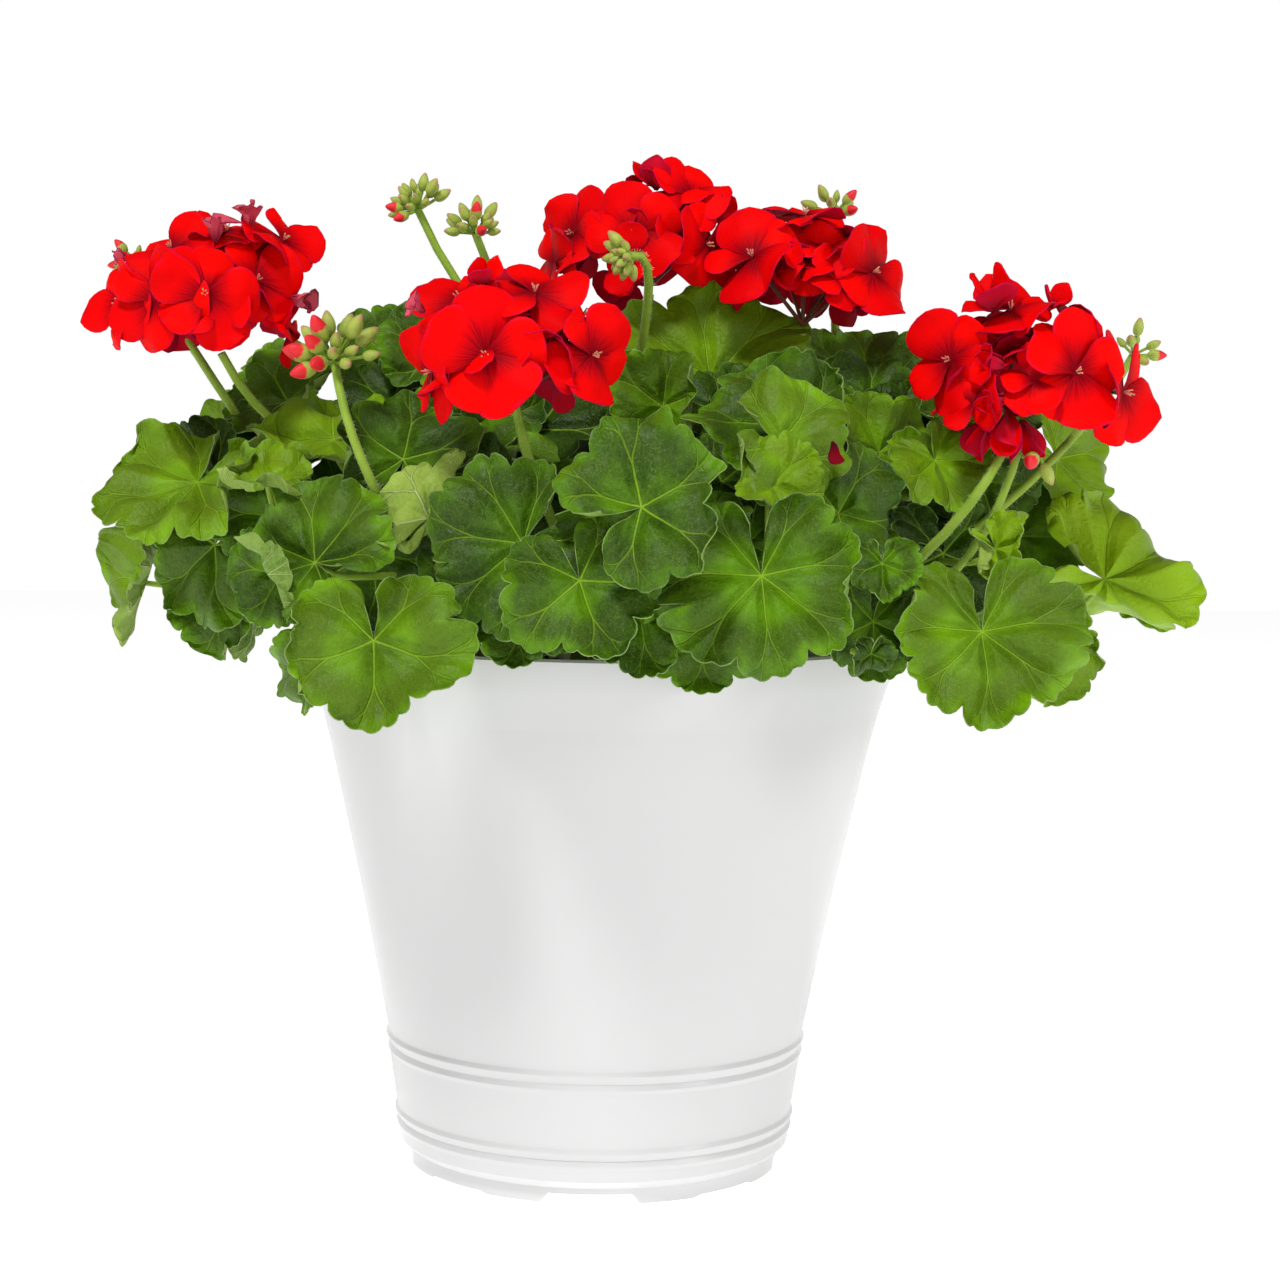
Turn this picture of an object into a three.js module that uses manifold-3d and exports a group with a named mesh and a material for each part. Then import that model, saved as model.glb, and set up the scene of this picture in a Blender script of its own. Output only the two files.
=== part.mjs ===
// A zonal geranium in a white plastic pot. Millimetres, +Z up, origin under the middle of the pot's base.
// The front of the pot faces -Y. Leaves, florets and buds that the front shows are placed one by one in
// the tables below, and the leaves at the back and in the crown by a rule.
import * as THREE from 'three';
import { mergeVertices } from 'three/addons/utils/BufferGeometryUtils.js';
import loadManifold from 'manifold-3d';

const wasm = await loadManifold();
wasm.setup();

// Pot
const rimRadius = 127;
const potHeight = 224.4;
const wallThickness = 2.2;
const rimBand = 11.5;
const footRadius = 79.1;
const footHeight = 6.5;
const footWidth = 6;
const floorUnderside = 5.5;
const floorTop = 9.2;
const bossRadius = 26;
const ridgePairs = [[16.6, 22], [48.7, 54.5]];
const ridgeRise = 1.3;
const potFacets = 30;
const facetTurn = 2.5; // degrees, so that no edge of a facet lies in a middle plane
const notchCount = 4;
const notchHeight = 4;
const notchHalfAngle = 13;
const padHalfAngle = 34;
const padHeight = 1;
const drainCount = 4;
const drainRadius = 5;
const drainCircle = 52;

// Soil
const soilDepth = 20;
const soilFacets = 20;

// Plant
const gap = 0.35; // clear space between neighbouring pieces
const leafThickness = 0.9;
const petalThickness = 0.8;
const stemRadius = 4.2;
const petioleRadius = 1.5;
const peduncleRadius = 1.9;
const pedicelRadius = 0.8;
const stemRootDepth = 28;
const sinusHalfAngle = 11;
const bigLeaf = 36; // larger leaves show seven lobes, the others five
const budBall = 2.4; // swelling where pedicels and buds part
const budSpread = 0.3; // cosine of the widest angle between a bud and its cluster's axis

// Main stems: foot on the soil [x, y], shoot tip [x, y, z]
const stems = {
  stem_front_left: { foot: [-42, -34], tip: [-78, -62, 262] },
  stem_back_left: { foot: [-46, 22], tip: [-98, 24, 282] },
  stem_front: { foot: [-6, -46], tip: [-14, -70, 262] },
  stem_middle: { foot: [0, 8], tip: [8, 4, 300] },
  stem_front_right: { foot: [42, -36], tip: [76, -62, 252] },
  stem_back_right: { foot: [48, 20], tip: [104, 14, 275] },
  stem_back: { foot: [-4, 52], tip: [-6, 92, 282] },
};

// Leaves that the front shows. Columns: stem, leaf stalk's end [x, y, z], radius, blade's facing
// [degrees from the front towards the right, degrees up], turn of the middle lobe from straight down
// (positive towards the right), fold of the left and right half towards the face, bend of the middle lobe
const leaves = [
  ['stem_front_left', [-83, -145, 232], 35, [-8, 18], 4, 0.1, 0.1, 0.25],
  ['stem_front_left', [-109, -112, 259], 37, [-22, 30], -112, 0.05, 0.25, 0.3],
  ['stem_front_left', [-66, -108, 277], 30, [60, -20], 150, 0.5, 0.3, 0.2],
  ['stem_front_left', [-111, -116, 220], 20, [-55, 5], -12, 0.2, 0.2, 0.3],
  ['stem_front_left', [-126, -88, 253], 23, [-30, 10], -30, 0.1, 0.1, 0.3],
  ['stem_back_left', [-165, -48, 289], 38, [-18, 42], -12, 0.05, 0.05, 0.35],
  ['stem_back_left', [-160, -34, 262], 35, [-32, 16], -48, 0.1, 0.1, 0.3],
  ['stem_back_left', [-189, 8, 249], 31, [-62, 12], -24, 0.2, 0.5, 0.3],
  ['stem_back_left', [-157, -24, 240], 27, [-32, 8], -12, 0.1, 0.3, 0.3],
  ['stem_back_left', [-190, 38, 275], 25, [-58, 25], -60, 0.1, 0.1, 0.3],
  ['stem_back_left', [-178, 64, 305], 26, [-60, 48], -80, 0.1, 0.1, 0.3],
  ['stem_back_left', [-112, -26, 306], 36, [-10, 55], -98, 0.3, 0.2, 0.5],
  ['stem_back_left', [-139, 16, 330], 31, [-20, 50], -75, 0.15, 0.15, 0.3],
  ['stem_back_left', [-138, 40, 330], 25, [-30, 35], 170, 0.2, 0.2, 0.3],
  ['stem_back_left', [-131, -84, 288], 23, [-10, 68], -85, 0.3, 0.3, 0.5],
  ['stem_front', [-79, -74, 299], 31, [-8, 22], 172, 0.1, 0.1, 0.2],
  ['stem_front', [-28, -142, 269], 38, [-14, 16], -48, 0.05, 0.08, 0.2],
  ['stem_front', [-6, -168, 257], 31, [0, 14], 20, 0.08, 0.08, 0.2],
  ['stem_front', [16, -168, 284], 34, [4, 24], 122, 0.05, 0.1, 0.2],
  ['stem_front', [-28, -134, 246], 25, [-8, 12], -6, 0.1, 0.1, 0.2],
  ['stem_front', [16, -144, 244], 24, [4, 8], 10, 0.1, 0.1, 0.2],
  ['stem_front_right', [61, -150, 259], 40, [5, 12], 6, 0.06, 0.06, 0.15],
  ['stem_front_right', [147, -112, 234], 40, [12, 18], 3, 0.08, 0.08, 0.2],
  ['stem_front_right', [186, -72, 230], 29, [40, 15], 8, 0.2, 0.2, 0.3],
  ['stem_front_right', [40, -134, 238], 26, [6, 6], 0, 0.1, 0.1, 0.2],
  ['stem_front_right', [106, -112, 240], 24, [20, 8], 0, 0.1, 0.1, 0.2],
  ['stem_front_right', [93, -94, 281], 29, [16, 25], 78, 0.1, 0.1, 0.3],
  ['stem_front_right', [108, -122, 263], 15, [10, 20], 0, 0.2, 0.2, 0.3],
  ['stem_front_right', [60, -110, 303], 31, [22, 32], 68, 0.3, 0.1, 0.3],
  ['stem_front_right', [104, -132, 226], 15, [30, 5], 0, 0.2, 0.2, 0.3],
  ['stem_middle', [-92, 30, 340], 27, [-10, 20], 178, 0.3, 0.3, 0.3],
  ['stem_middle', [-72, 12, 342], 28, [0, 35], 176, 0.25, 0.25, 0.3],
  ['stem_middle', [-52, -30, 318], 28, [-4, 35], 150, 0.15, 0.15, 0.3],
  ['stem_middle', [44, 4, 336], 46, [6, 28], -176, 0.1, 0.1, 0.2],
  ['stem_middle', [24, -44, 322], 26, [0, 15], 172, 0.4, 0.4, 0.2],
  ['stem_back_right', [72, -84, 315], 35, [4, 35], -160, 0.05, 0.08, 0.25],
  ['stem_back_right', [112, -52, 305], 26, [10, 20], 130, 0.1, 0.1, 0.3],
  ['stem_back_right', [116, 18, 340], 30, [10, 35], 175, 0.2, 0.2, 0.3],
  ['stem_back_right', [158, -26, 316], 30, [10, 45], -120, 0.15, 0.15, 0.3],
  ['stem_back_right', [134, -60, 302], 24, [12, 30], 20, 0.15, 0.15, 0.3],
  ['stem_back_right', [196, 24, 303], 29, [30, 35], 30, 0.3, 0.2, 0.3],
  ['stem_back_right', [208, -34, 254], 44, [30, 62], 58, 0.75, 0.35, 0.2],
  ['stem_back_right', [178, 4, 270], 32, [24, 20], 20, 0.1, 0.1, 0.3],
  ['stem_back_right', [156, -84, 268], 18, [8, 25], 30, 0.4, 0.4, 0.5],
  ['stem_front', [30, -98, 276], 28, [10, 70], 14, 0.12, 0.12, 0.3],
  ['stem_back_right', [124, -26, 276], 28, [30, 68], -10, 0.12, 0.12, 0.3],
];

// Tiers of leaves that fill the back and the crown: height, distance from the pot's axis, leaf radius,
// upward tilt, count, and the first and last direction in degrees from the front towards the right
const hiddenTiers = [
  { z: 238, out: 160, radius: 34, tilt: 14, count: 6, from: 110, to: 250 },
  { z: 280, out: 146, radius: 34, tilt: 34, count: 5, from: 116, to: 244 },
  { z: 304, out: 106, radius: 34, tilt: 54, count: 4, from: 110, to: 252 },
  { z: 330, out: 58, radius: 33, tilt: 72, count: 3, from: 116, to: 228 },
  { z: 292, out: 56, radius: 34, tilt: 76, count: 3, from: -64, to: 60 },
];
const firstHiddenSeed = 44;

// Flower heads: stem, where the pedicels part [x, y, z], and florets as offset from there [x, y, z],
// radius, facing [degrees from the front towards the right, degrees up]
const heads = {
  flower_left: {
    stem: 'stem_back_left',
    at: [-160, -20, 345],
    florets: [
      [[-8, -28, 23], 24, [-6, 14]],
      [[-39, -9, 12], 20, [-52, 8]],
      [[16, -14, 26], 20, [38, 18]],
      [[28, 0, 42], 18, [58, 42]],
      [[24, 10, 18], 16, [96, 4]],
      [[-25, -8, 40], 19, [-40, 48]],
      [[2, 0, 46], 18, [10, 78]],
      [[-10, 20, 26], 21, [178, 24]],
    ],
  },
  flower_middle: {
    stem: 'stem_front',
    at: [-33, -110, 325],
    florets: [
      [[-10, -23, 14], 24, [-6, 4]],
      [[-31, -6, 8], 19, [-64, -2]],
      [[-21, -2, 35], 20, [-46, 50]],
      [[7, -6, 38], 21, [10, 54]],
      [[29, -12, 15], 20, [44, 6]],
      [[24, 6, 30], 18, [84, 38]],
      [[0, 18, 28], 21, [180, 36]],
    ],
  },
  flower_top: {
    stem: 'stem_middle',
    at: [18, 12, 374],
    florets: [
      [[-6, -22, 20], 22, [-10, 10]],
      [[-32, -6, 21], 20, [-54, 12]],
      [[13, 2, 42], 20, [20, 72]],
      [[23, -14, 17], 20, [42, 2]],
      [[30, 6, 30], 16, [84, 30]],
      [[-17, 6, 34], 17, [-70, 54]],
      [[-2, 20, 20], 22, [180, 24]],
    ],
  },
  flower_right: {
    stem: 'stem_back_right',
    at: [83, 0, 358],
    florets: [
      [[-22, -15, 27], 22, [-28, 16]],
      [[0, -2, 45], 19, [0, 74]],
      [[25, -8, 23], 21, [46, 14]],
      [[22, 12, 33], 17, [84, 42]],
      [[-8, 18, 29], 21, [186, 36]],
      [[16, 20, 18], 19, [146, 14]],
    ],
  },
  flower_far_right: {
    stem: 'stem_back_right',
    at: [165, -60, 319],
    florets: [
      [[-27, -12, 23], 21, [-36, 8]],
      [[-3, -6, 43], 20, [-4, 66]],
      [[21, -20, 19], 24, [20, 6]],
      [[44, 2, 10], 24, [72, -4]],
      [[32, 6, 35], 18, [78, 44]],
      [[-12, 18, 24], 21, [186, 22]],
      [[-3, -9, -8], 12, [0, -50]],
    ],
  },
};

// Bud clusters: stem, where the buds part, lean of the cluster [degrees from the front, degrees up],
// bud length, and the bend of a nodding stalk
const budClusters = [
  { stem: 'stem_front_left', at: [-106, -80, 337], lean: [-20, 62], length: 9 },
  { stem: 'stem_middle', at: [-79, 20, 404], lean: [-70, 60], length: 7 },
  { stem: 'stem_middle', at: [-54, 0, 393], lean: [-10, 75], length: 7 },
  { stem: 'stem_middle', at: [10, -60, 382], lean: [-90, -20], length: 7, arch: [18, 6] },
  { stem: 'stem_back_right', at: [98, 40, 408], lean: [0, 82], length: 7 },
  { stem: 'stem_back_right', at: [230, 38, 349], lean: [60, 60], length: 7 },
  { stem: 'stem_back_left', at: [-190, 12, 372], lean: [-60, 50], length: 7 },
];

// A dark petal that has fallen among the leaves on the right
const fallenPetal = { at: [91, -104, 308], radius: 10, facing: [10, 20], turn: 40 };

const materials = {
  pot: new THREE.MeshStandardMaterial({ color: 0xe9e9ea, roughness: 0.22, metalness: 0 }),
  soil: new THREE.MeshStandardMaterial({ color: 0x2a1e14, roughness: 0.95, metalness: 0 }),
  green: new THREE.MeshStandardMaterial({ color: 0x4f8420, roughness: 0.6, metalness: 0 }),
  red: new THREE.MeshStandardMaterial({ color: 0xe8070c, roughness: 0.55, metalness: 0 }),
};

const rad = THREE.MathUtils.degToRad;
const plant = new THREE.Group();

// What the evenly spread numbers below are drawn for
const purposes = [
  'wave', 'dish', 'floretTurn', 'petal', 'branch', 'direction', 'distance', 'height', 'size', 'facing',
  'turn', 'bud',
];
const indexStep = 0.618034;
const purposeStep = 0.754878;

// A number from 0 to 1, the same each time for the same leaf and purpose
function draw(index, purpose) {
  return (index * indexStep + (purposes.indexOf(purpose) + 1) * purposeStep) % 1;
}

// The same, from -0.5 to 0.5
function drawAbout(index, purpose) {
  return draw(index, purpose) - 0.5;
}

function toSolid(geometry) {
  const bare = geometry.clone();
  bare.deleteAttribute('normal');
  bare.deleteAttribute('uv');
  const merged = mergeVertices(bare, 1e-4);
  return new wasm.Manifold(new wasm.Mesh({
    numProp: 3,
    vertProperties: merged.attributes.position.array,
    triVerts: Uint32Array.from(merged.index.array),
  }));
}

function toGeometry(solid) {
  const mesh = solid.getMesh();
  const geometry = new THREE.BufferGeometry();
  geometry.setAttribute('position', new THREE.BufferAttribute(mesh.vertProperties, 3));
  geometry.setIndex(new THREE.BufferAttribute(mesh.triVerts, 1));
  geometry.computeVertexNormals();
  return geometry;
}

function joined(solids) {
  return solids.reduce((whole, solid) => whole.add(solid));
}

// The largest body of a solid, without the loose scraps that a cut leaves
function largest(solid) {
  return solid.decompose().reduce((best, body) => (body.volume() > best.volume() ? body : best));
}

function addPiece(name, solid, material) {
  const mesh = new THREE.Mesh(toGeometry(solid), material);
  mesh.name = name;
  plant.add(mesh);
}

// Axes of a blade: x along its middle lobe, z along its facing. With no turn the middle lobe points down
function bladeFrame(at, facing, turn) {
  const around = rad(facing[0]);
  const up = rad(facing[1]);
  const front = new THREE.Vector3(Math.sin(around), -Math.cos(around), 0);
  const normal = front.clone().multiplyScalar(Math.cos(up)).setZ(Math.sin(up));
  const tip = front.clone().multiplyScalar(Math.sin(up)).setZ(-Math.cos(up));
  tip.applyAxisAngle(normal, rad(turn));
  const side = new THREE.Vector3().crossVectors(normal, tip);
  return new THREE.Matrix4().makeBasis(tip, side, normal).setPosition(...at);
}

// A thin closed plate round a sheet of points, with the same triangles on both faces and a wall at the rim
function plate(points, faces, rim, thickness) {
  const sheet = new THREE.BufferGeometry().setFromPoints(points);
  sheet.setIndex(faces.flat());
  sheet.computeVertexNormals();
  const count = points.length;
  const normal = (i) => new THREE.Vector3().fromBufferAttribute(sheet.attributes.normal, i);
  const front = points.map((p, i) => p.clone().addScaledVector(normal(i), thickness / 2));
  const back = points.map((p, i) => p.clone().addScaledVector(normal(i), -thickness / 2));
  const index = faces.flatMap(([a, b, c]) => [a, b, c, count + a, count + c, count + b]);
  rim.forEach((a, i) => {
    const b = rim[(i + 1) % rim.length];
    index.push(b, a, count + a, b, count + a, count + b);
  });
  const solid = new THREE.BufferGeometry().setFromPoints([...front, ...back]);
  solid.setIndex(index);
  return solid;
}

// Distance from the leaf stalk to the margin of a kidney-shaped blade, as a share of its radius
function marginShare(angle) {
  const back = (1 - Math.cos(angle)) / 2;
  return 1 + 0.06 * Math.sin(angle) ** 2 - 0.2 * back ** 3;
}

// Rise of a waved blade above its plane, as a share of its radius
function waveShare(share, angle, seed) {
  const phase = draw(seed, 'wave') * 2 * Math.PI;
  const dish = 0.1 + 0.06 * draw(seed, 'dish');
  const wave = 0.055 * Math.sin(3 * angle + phase) + 0.03 * Math.sin(7 * angle + 2 * phase);
  return share ** 2 * dish + share ** 3 * wave;
}

// One leaf blade: lobes round the stalk, each with two crests, valleys between them, and a narrow cleft.
// A big blade bends halfway out too
function leafBlade(leaf, seed, grow) {
  const [, at, radius, facing, turn, foldLeft, foldRight, bend] = leaf;
  const big = radius > bigLeaf;
  const lobes = big ? 7 : 5;
  const lobeAngle = (2 * Math.PI - 2 * rad(sinusHalfAngle)) / lobes;
  const startAngle = rad(sinusHalfAngle) - Math.PI;
  const size = radius + grow;

  const place = (share, angle) => {
    const reach = share * marginShare(angle) * size;
    const x = reach * Math.cos(angle);
    const y = reach * Math.sin(angle);
    const fold = y < 0 ? foldLeft : foldRight;
    const curve = bend / radius;
    const rise = waveShare(share, angle, seed) * radius + Math.abs(y) * Math.sin(fold);
    return new THREE.Vector3(
      Math.sin(curve * x) / curve,
      y * Math.cos(fold),
      rise - (1 - Math.cos(curve * x)) / curve,
    );
  };

  const points = [new THREE.Vector3()];
  for (let i = 0; i < lobes; i++) {
    points.push(place(i === 0 ? 0.62 : 0.85, startAngle + i * lobeAngle));
    points.push(place(1, startAngle + (i + 0.27) * lobeAngle));
    points.push(place(1, startAngle + (i + 0.73) * lobeAngle));
  }
  points.push(place(0.62, startAngle + lobes * lobeAngle));
  const loop = points.map((_, i) => i);
  const faces = [];
  if (big) {
    const inner = points.length;
    for (let i = 0; i < lobes; i++) {
      points.push(place(0.55, startAngle + (i + 0.5) * lobeAngle));
      for (let k = 1; k < 4; k++) faces.push([inner + i, 3 * i + k, 3 * i + k + 1]);
      if (i > 0) faces.push([inner + i - 1, 3 * i + 1, inner + i], [0, inner + i - 1, inner + i]);
    }
    faces.push([0, 1, inner], [0, inner + lobes - 1, 3 * lobes + 1]);
  } else {
    for (let k = 1; k < 3 * lobes; k += 3) faces.push([0, k, k + 3], [k, k + 1, k + 2], [k, k + 2, k + 3]);
  }
  const blade = plate(points, faces, loop, leafThickness + 2 * grow);
  return blade.applyMatrix4(bladeFrame(at, facing, turn));
}

// Outline of a broad petal: [along, across, up] as shares of its radius. One edge stands higher than the
// other, so that it laps over the next petal, and the notch is where two petals part
const petalOutline = [[0.88, -0.46, 0.1], [0.99, 0.18, 0.15], [0.62, 0.56, 0.24]];
const petalNotch = [0.15, 0.11, 0.05];

const petals = 5;

function floretFrame(at, facing, seed) {
  return bladeFrame(at, facing, 360 / petals * draw(seed, 'floretTurn'));
}

// A floret: one sheet of five lapping petals that part near its middle
function floretBlade(at, radius, facing, seed, grow) {
  const points = [];
  const faces = [[3, 7, 11], [3, 11, 15], [3, 15, 19]]; // between the notches
  for (let i = 0; i < petals; i++) {
    const around = new THREE.Matrix4().makeRotationZ(i * 2 * Math.PI / petals);
    const size = radius * (0.94 + 0.12 * draw(seed + i, 'petal')) + grow;
    const first = points.length;
    for (const [along, across, up] of [...petalOutline, petalNotch]) {
      points.push(new THREE.Vector3(along * size, across * size, up * radius).applyMatrix4(around));
    }
    const before = i === 0 ? petals * 4 - 1 : first - 1;
    for (let k = 0; k < 3; k++) faces.push([before, first + k, first + k + 1]);
  }
  const loop = points.map((_, i) => i);
  const floret = plate(points, faces, loop, petalThickness + 2 * grow);
  return floret.applyMatrix4(floretFrame(at, facing, seed));
}

// A tube of few sides along a curve, with its ends run on by the extra length given
function tubeSolid(curve, radius, sides, steps, grow) {
  const section = new THREE.Shape();
  for (let i = 0; i < sides; i++) {
    const angle = i * 2 * Math.PI / sides;
    const method = i === 0 ? 'moveTo' : 'lineTo';
    section[method]((radius + grow) * Math.cos(angle), (radius + grow) * Math.sin(angle));
  }
  const path = curve.clone();
  path.v0.addScaledVector(curve.getTangent(0), -grow);
  path.v3.addScaledVector(curve.getTangent(1), grow);
  return toSolid(new THREE.ExtrudeGeometry(section, { steps, bevelEnabled: false, extrudePath: path }));
}

function bezier(...points) {
  return new THREE.CubicBezierCurve3(...points);
}

function straight(from, to) {
  return bezier(from, from.clone().lerp(to, 1 / 3), from.clone().lerp(to, 2 / 3), to);
}

const soilLevel = potHeight - soilDepth;

function stemCurve(stem) {
  const foot = new THREE.Vector3(...stem.foot, soilLevel - stemRootDepth);
  const low = new THREE.Vector3(...stem.foot, soilLevel + 12);
  const tip = new THREE.Vector3(...stem.tip);
  const high = tip.clone().lerp(low, 0.4).setZ(tip.z - 22);
  return bezier(foot, low, high, tip);
}

// The point on a stem where a stalk that ends at the given height starts
function branchPoint(stem, height, seed) {
  const curve = stemCurve(stem);
  const share = (height - soilLevel) / (stem.tip[2] - soilLevel);
  return curve.getPoint(THREE.MathUtils.clamp(0.42 + 0.3 * share + 0.24 * draw(seed, 'branch'), 0.5, 0.96));
}

// Leaf stalk: leaves the stem outwards and meets the back of the blade squarely, by its cleft
function petioleCurve(stem, leaf, seed) {
  const [, at, radius, facing, turn] = leaf;
  const frame = bladeFrame(at, facing, turn);
  const beside = radius > bigLeaf ? rad(24) : 0;
  const end = new THREE.Vector3(Math.cos(beside), Math.sin(beside), 0).multiplyScalar(0.09 * radius)
    .applyMatrix4(frame);
  const start = branchPoint(stem, at[2], seed);
  const reach = start.distanceTo(end);
  const into = new THREE.Vector3(0, 0, -1).transformDirection(frame);
  const out = end.clone().sub(start).setZ(0.35 * reach).normalize();
  return bezier(
    start,
    start.clone().addScaledVector(out, 0.4 * reach),
    end.clone().addScaledVector(into, 0.35 * reach),
    end,
  );
}

// Flower stalk: rises from the top of a stem and ends upright, or arched over on a nodding cluster
function peduncleCurve(stem, at, arch, seed) {
  const start = branchPoint(stem, stem.tip[2] + 40, seed);
  const end = new THREE.Vector3(...at).setZ(at[2] - (arch === null ? 1.2 * budBall + 2 * gap : 0));
  const reach = start.distanceTo(end);
  const high = end.clone();
  if (arch) high.add(new THREE.Vector3(arch[0], 0, arch[1]));
  else high.lerp(start, 0.3).setZ(end.z - 0.42 * reach);
  const low = start.clone().lerp(end, 0.25).setZ(start.z + 0.25 * reach);
  return bezier(start, low, high, end);
}

// A cluster of buds: a small ball, with a bud drawn out of each facet that looks the cluster's way.
// A bud is thickest past its middle and ends in a point
function budCluster(at, axis, length, grow) {
  const ball = new THREE.IcosahedronGeometry(budBall + grow).attributes.position;
  const triangles = [];
  for (let i = 0; i < ball.count; i += 3) {
    const foot = [0, 1, 2].map((k) => new THREE.Vector3().fromBufferAttribute(ball, i + k));
    const out = foot[0].clone().add(foot[1]).add(foot[2]).normalize();
    if (out.dot(axis) < budSpread) {
      triangles.push(...foot);
      continue;
    }
    const reach = length * (0.85 + 0.3 * draw(i, 'bud'));
    const belly = foot.map((p) => p.clone().projectOnPlane(out).setLength(0.3 * length + grow)
      .addScaledVector(out, 1.1 * reach));
    const tip = out.clone().multiplyScalar(1.75 * reach + grow);
    for (const [k, m] of [[0, 1], [1, 2], [2, 0]]) {
      triangles.push(foot[k], foot[m], belly[m], foot[k], belly[m], belly[k], belly[k], belly[m], tip);
    }
  }
  return toSolid(new THREE.BufferGeometry().setFromPoints(triangles).translate(at.x, at.y, at.z));
}

// The swelling at the end of a flower stalk
function ballSolid(at, grow) {
  return toSolid(new THREE.OctahedronGeometry(1.2 * budBall + grow).translate(at.x, at.y, at.z));
}

const tubes = [];
const blades = [];

// Keeps a shape twice: as it is, and grown by the gap to cut room for it in its neighbours
function keep(list, node, make) {
  list.push({ node, solid: make(0), grown: make(gap) });
}

for (const [name, stem] of Object.entries(stems)) {
  keep(tubes, name, (grow) => tubeSolid(stemCurve(stem), stemRadius, 6, 3, grow));
}

function addLeaf(leaf, seed) {
  const name = leaf[0];
  keep(tubes, name, (grow) => (
    tubeSolid(petioleCurve(stems[name], leaf, seed), petioleRadius, 3, 2, grow)));
  keep(blades, name, (grow) => toSolid(leafBlade(leaf, seed, grow)));
}

leaves.forEach((leaf, i) => addLeaf(leaf, i));

// The stem that a hidden leaf grows from
function stemFor(around, out) {
  if (out < 70) return Math.abs(around) < 90 ? 'stem_front' : 'stem_middle';
  if (around < 140) return 'stem_back_right';
  return around > 220 ? 'stem_back_left' : 'stem_back';
}

let hiddenSeed = firstHiddenSeed;
for (const tier of hiddenTiers) {
  const step = (tier.to - tier.from) / (tier.count - 1);
  for (let i = 0; i < tier.count; i++) {
    const seed = hiddenSeed++;
    const around = tier.from + step * (i + 0.3 * drawAbout(seed, 'direction'));
    const out = tier.out + 14 * drawAbout(seed, 'distance');
    const z = tier.z + 12 * drawAbout(seed, 'height');
    const at = [out * Math.sin(rad(around)), -out * Math.cos(rad(around)), z];
    const radius = tier.radius * (1 + 0.24 * drawAbout(seed, 'size'));
    const facing = [around + 20 * drawAbout(seed, 'facing'), tier.tilt];
    const turn = 50 * drawAbout(seed, 'turn');
    addLeaf([stemFor(around, tier.out), at, radius, facing, turn, 0.12, 0.12, 0.3], seed);
  }
}

let stalkSeed = 0;
for (const [name, head] of Object.entries(heads)) {
  const centre = new THREE.Vector3(...head.at);
  const seed = stalkSeed++;
  const curve = peduncleCurve(stems[head.stem], head.at, null, seed);
  keep(tubes, head.stem, (grow) => tubeSolid(curve, peduncleRadius, 4, 3, grow));
  keep(tubes, name, (grow) => ballSolid(centre, grow));
  head.florets.forEach(([offset, radius, facing], i) => {
    const at = centre.clone().add(new THREE.Vector3(...offset));
    const floretSeed = seed * 10 + i;
    const frame = floretFrame(at.toArray(), facing, floretSeed);
    const end = new THREE.Vector3(0, 0, 0.04 * radius).applyMatrix4(frame);
    const start = centre.clone().lerp(at, 0.5 * budBall / at.distanceTo(centre));
    keep(tubes, name, (grow) => tubeSolid(straight(start, end), pedicelRadius, 3, 1, grow));
    keep(blades, name, (grow) => toSolid(floretBlade(at.toArray(), radius, facing, floretSeed, grow)));
  });
}

for (const cluster of budClusters) {
  const seed = stalkSeed++;
  const centre = new THREE.Vector3(...cluster.at);
  const axis = new THREE.Vector3().setFromMatrixColumn(bladeFrame([0, 0, 0], cluster.lean, 0), 2);
  const curve = peduncleCurve(stems[cluster.stem], cluster.at, cluster.arch, seed);
  keep(tubes, cluster.stem, (grow) => tubeSolid(curve, peduncleRadius, 4, 3, grow));
  keep(tubes, cluster.stem, (grow) => budCluster(centre, axis, cluster.length, grow));
}

function fallenPetalSolid(grow) {
  const size = fallenPetal.radius + grow;
  const points = [[0, 0, 0], ...petalOutline].map(([along, across, up]) => (
    new THREE.Vector3(along * size, across * size, up * size)));
  const petal = plate(points, [[0, 1, 2], [0, 2, 3]], [0, 1, 2, 3], petalThickness + 2 * grow);
  return toSolid(petal.applyMatrix4(bladeFrame(fallenPetal.at, fallenPetal.facing, fallenPetal.turn)));
}
keep(blades, 'fallen_petal', fallenPetalSolid);

// Outer radius of the pot's wall at a height: it flares gently towards the rim
function wallRadius(z) {
  const profile = [
    [0, 82.6], [16, 84], [57, 89.2], [77, 92.8], [154, 108.2], [197, 118.5], [potHeight, rimRadius],
  ];
  const i = Math.max(1, profile.findIndex(([height]) => z <= height));
  const [lowZ, lowR] = profile[i - 1];
  const [highZ, highR] = profile[i];
  return lowR + (highR - lowR) * (z - lowZ) / (highZ - lowZ);
}

function lathe(profile, facets) {
  const points = profile.map(([r, z]) => new THREE.Vector2(r, z));
  return new THREE.LatheGeometry(points, facets).rotateX(Math.PI / 2);
}

// A wedge of a ring about the axis, from radius a to b, over an angle each side of a direction
function sector(direction, halfAngle, a, b, low, high, slope) {
  const corners = [[a, -halfAngle], [b, -halfAngle], [b, halfAngle], [a, halfAngle]];
  const points = [];
  for (const [z, spread] of [[low, slope], [high, -slope]]) {
    for (const [r, angle] of corners) {
      const t = rad(direction + angle + Math.sign(angle) * spread);
      points.push(new THREE.Vector3(r * Math.sin(t), -r * Math.cos(t), z));
    }
  }
  const index = [0, 2, 1, 0, 3, 2, 4, 5, 6, 4, 6, 7];
  for (let i = 0; i < 4; i++) {
    const j = (i + 1) % 4;
    index.push(i, j, 4 + j, i, 4 + j, 4 + i);
  }
  const geometry = new THREE.BufferGeometry().setFromPoints(points);
  geometry.setIndex(index);
  return toSolid(geometry);
}

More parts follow.
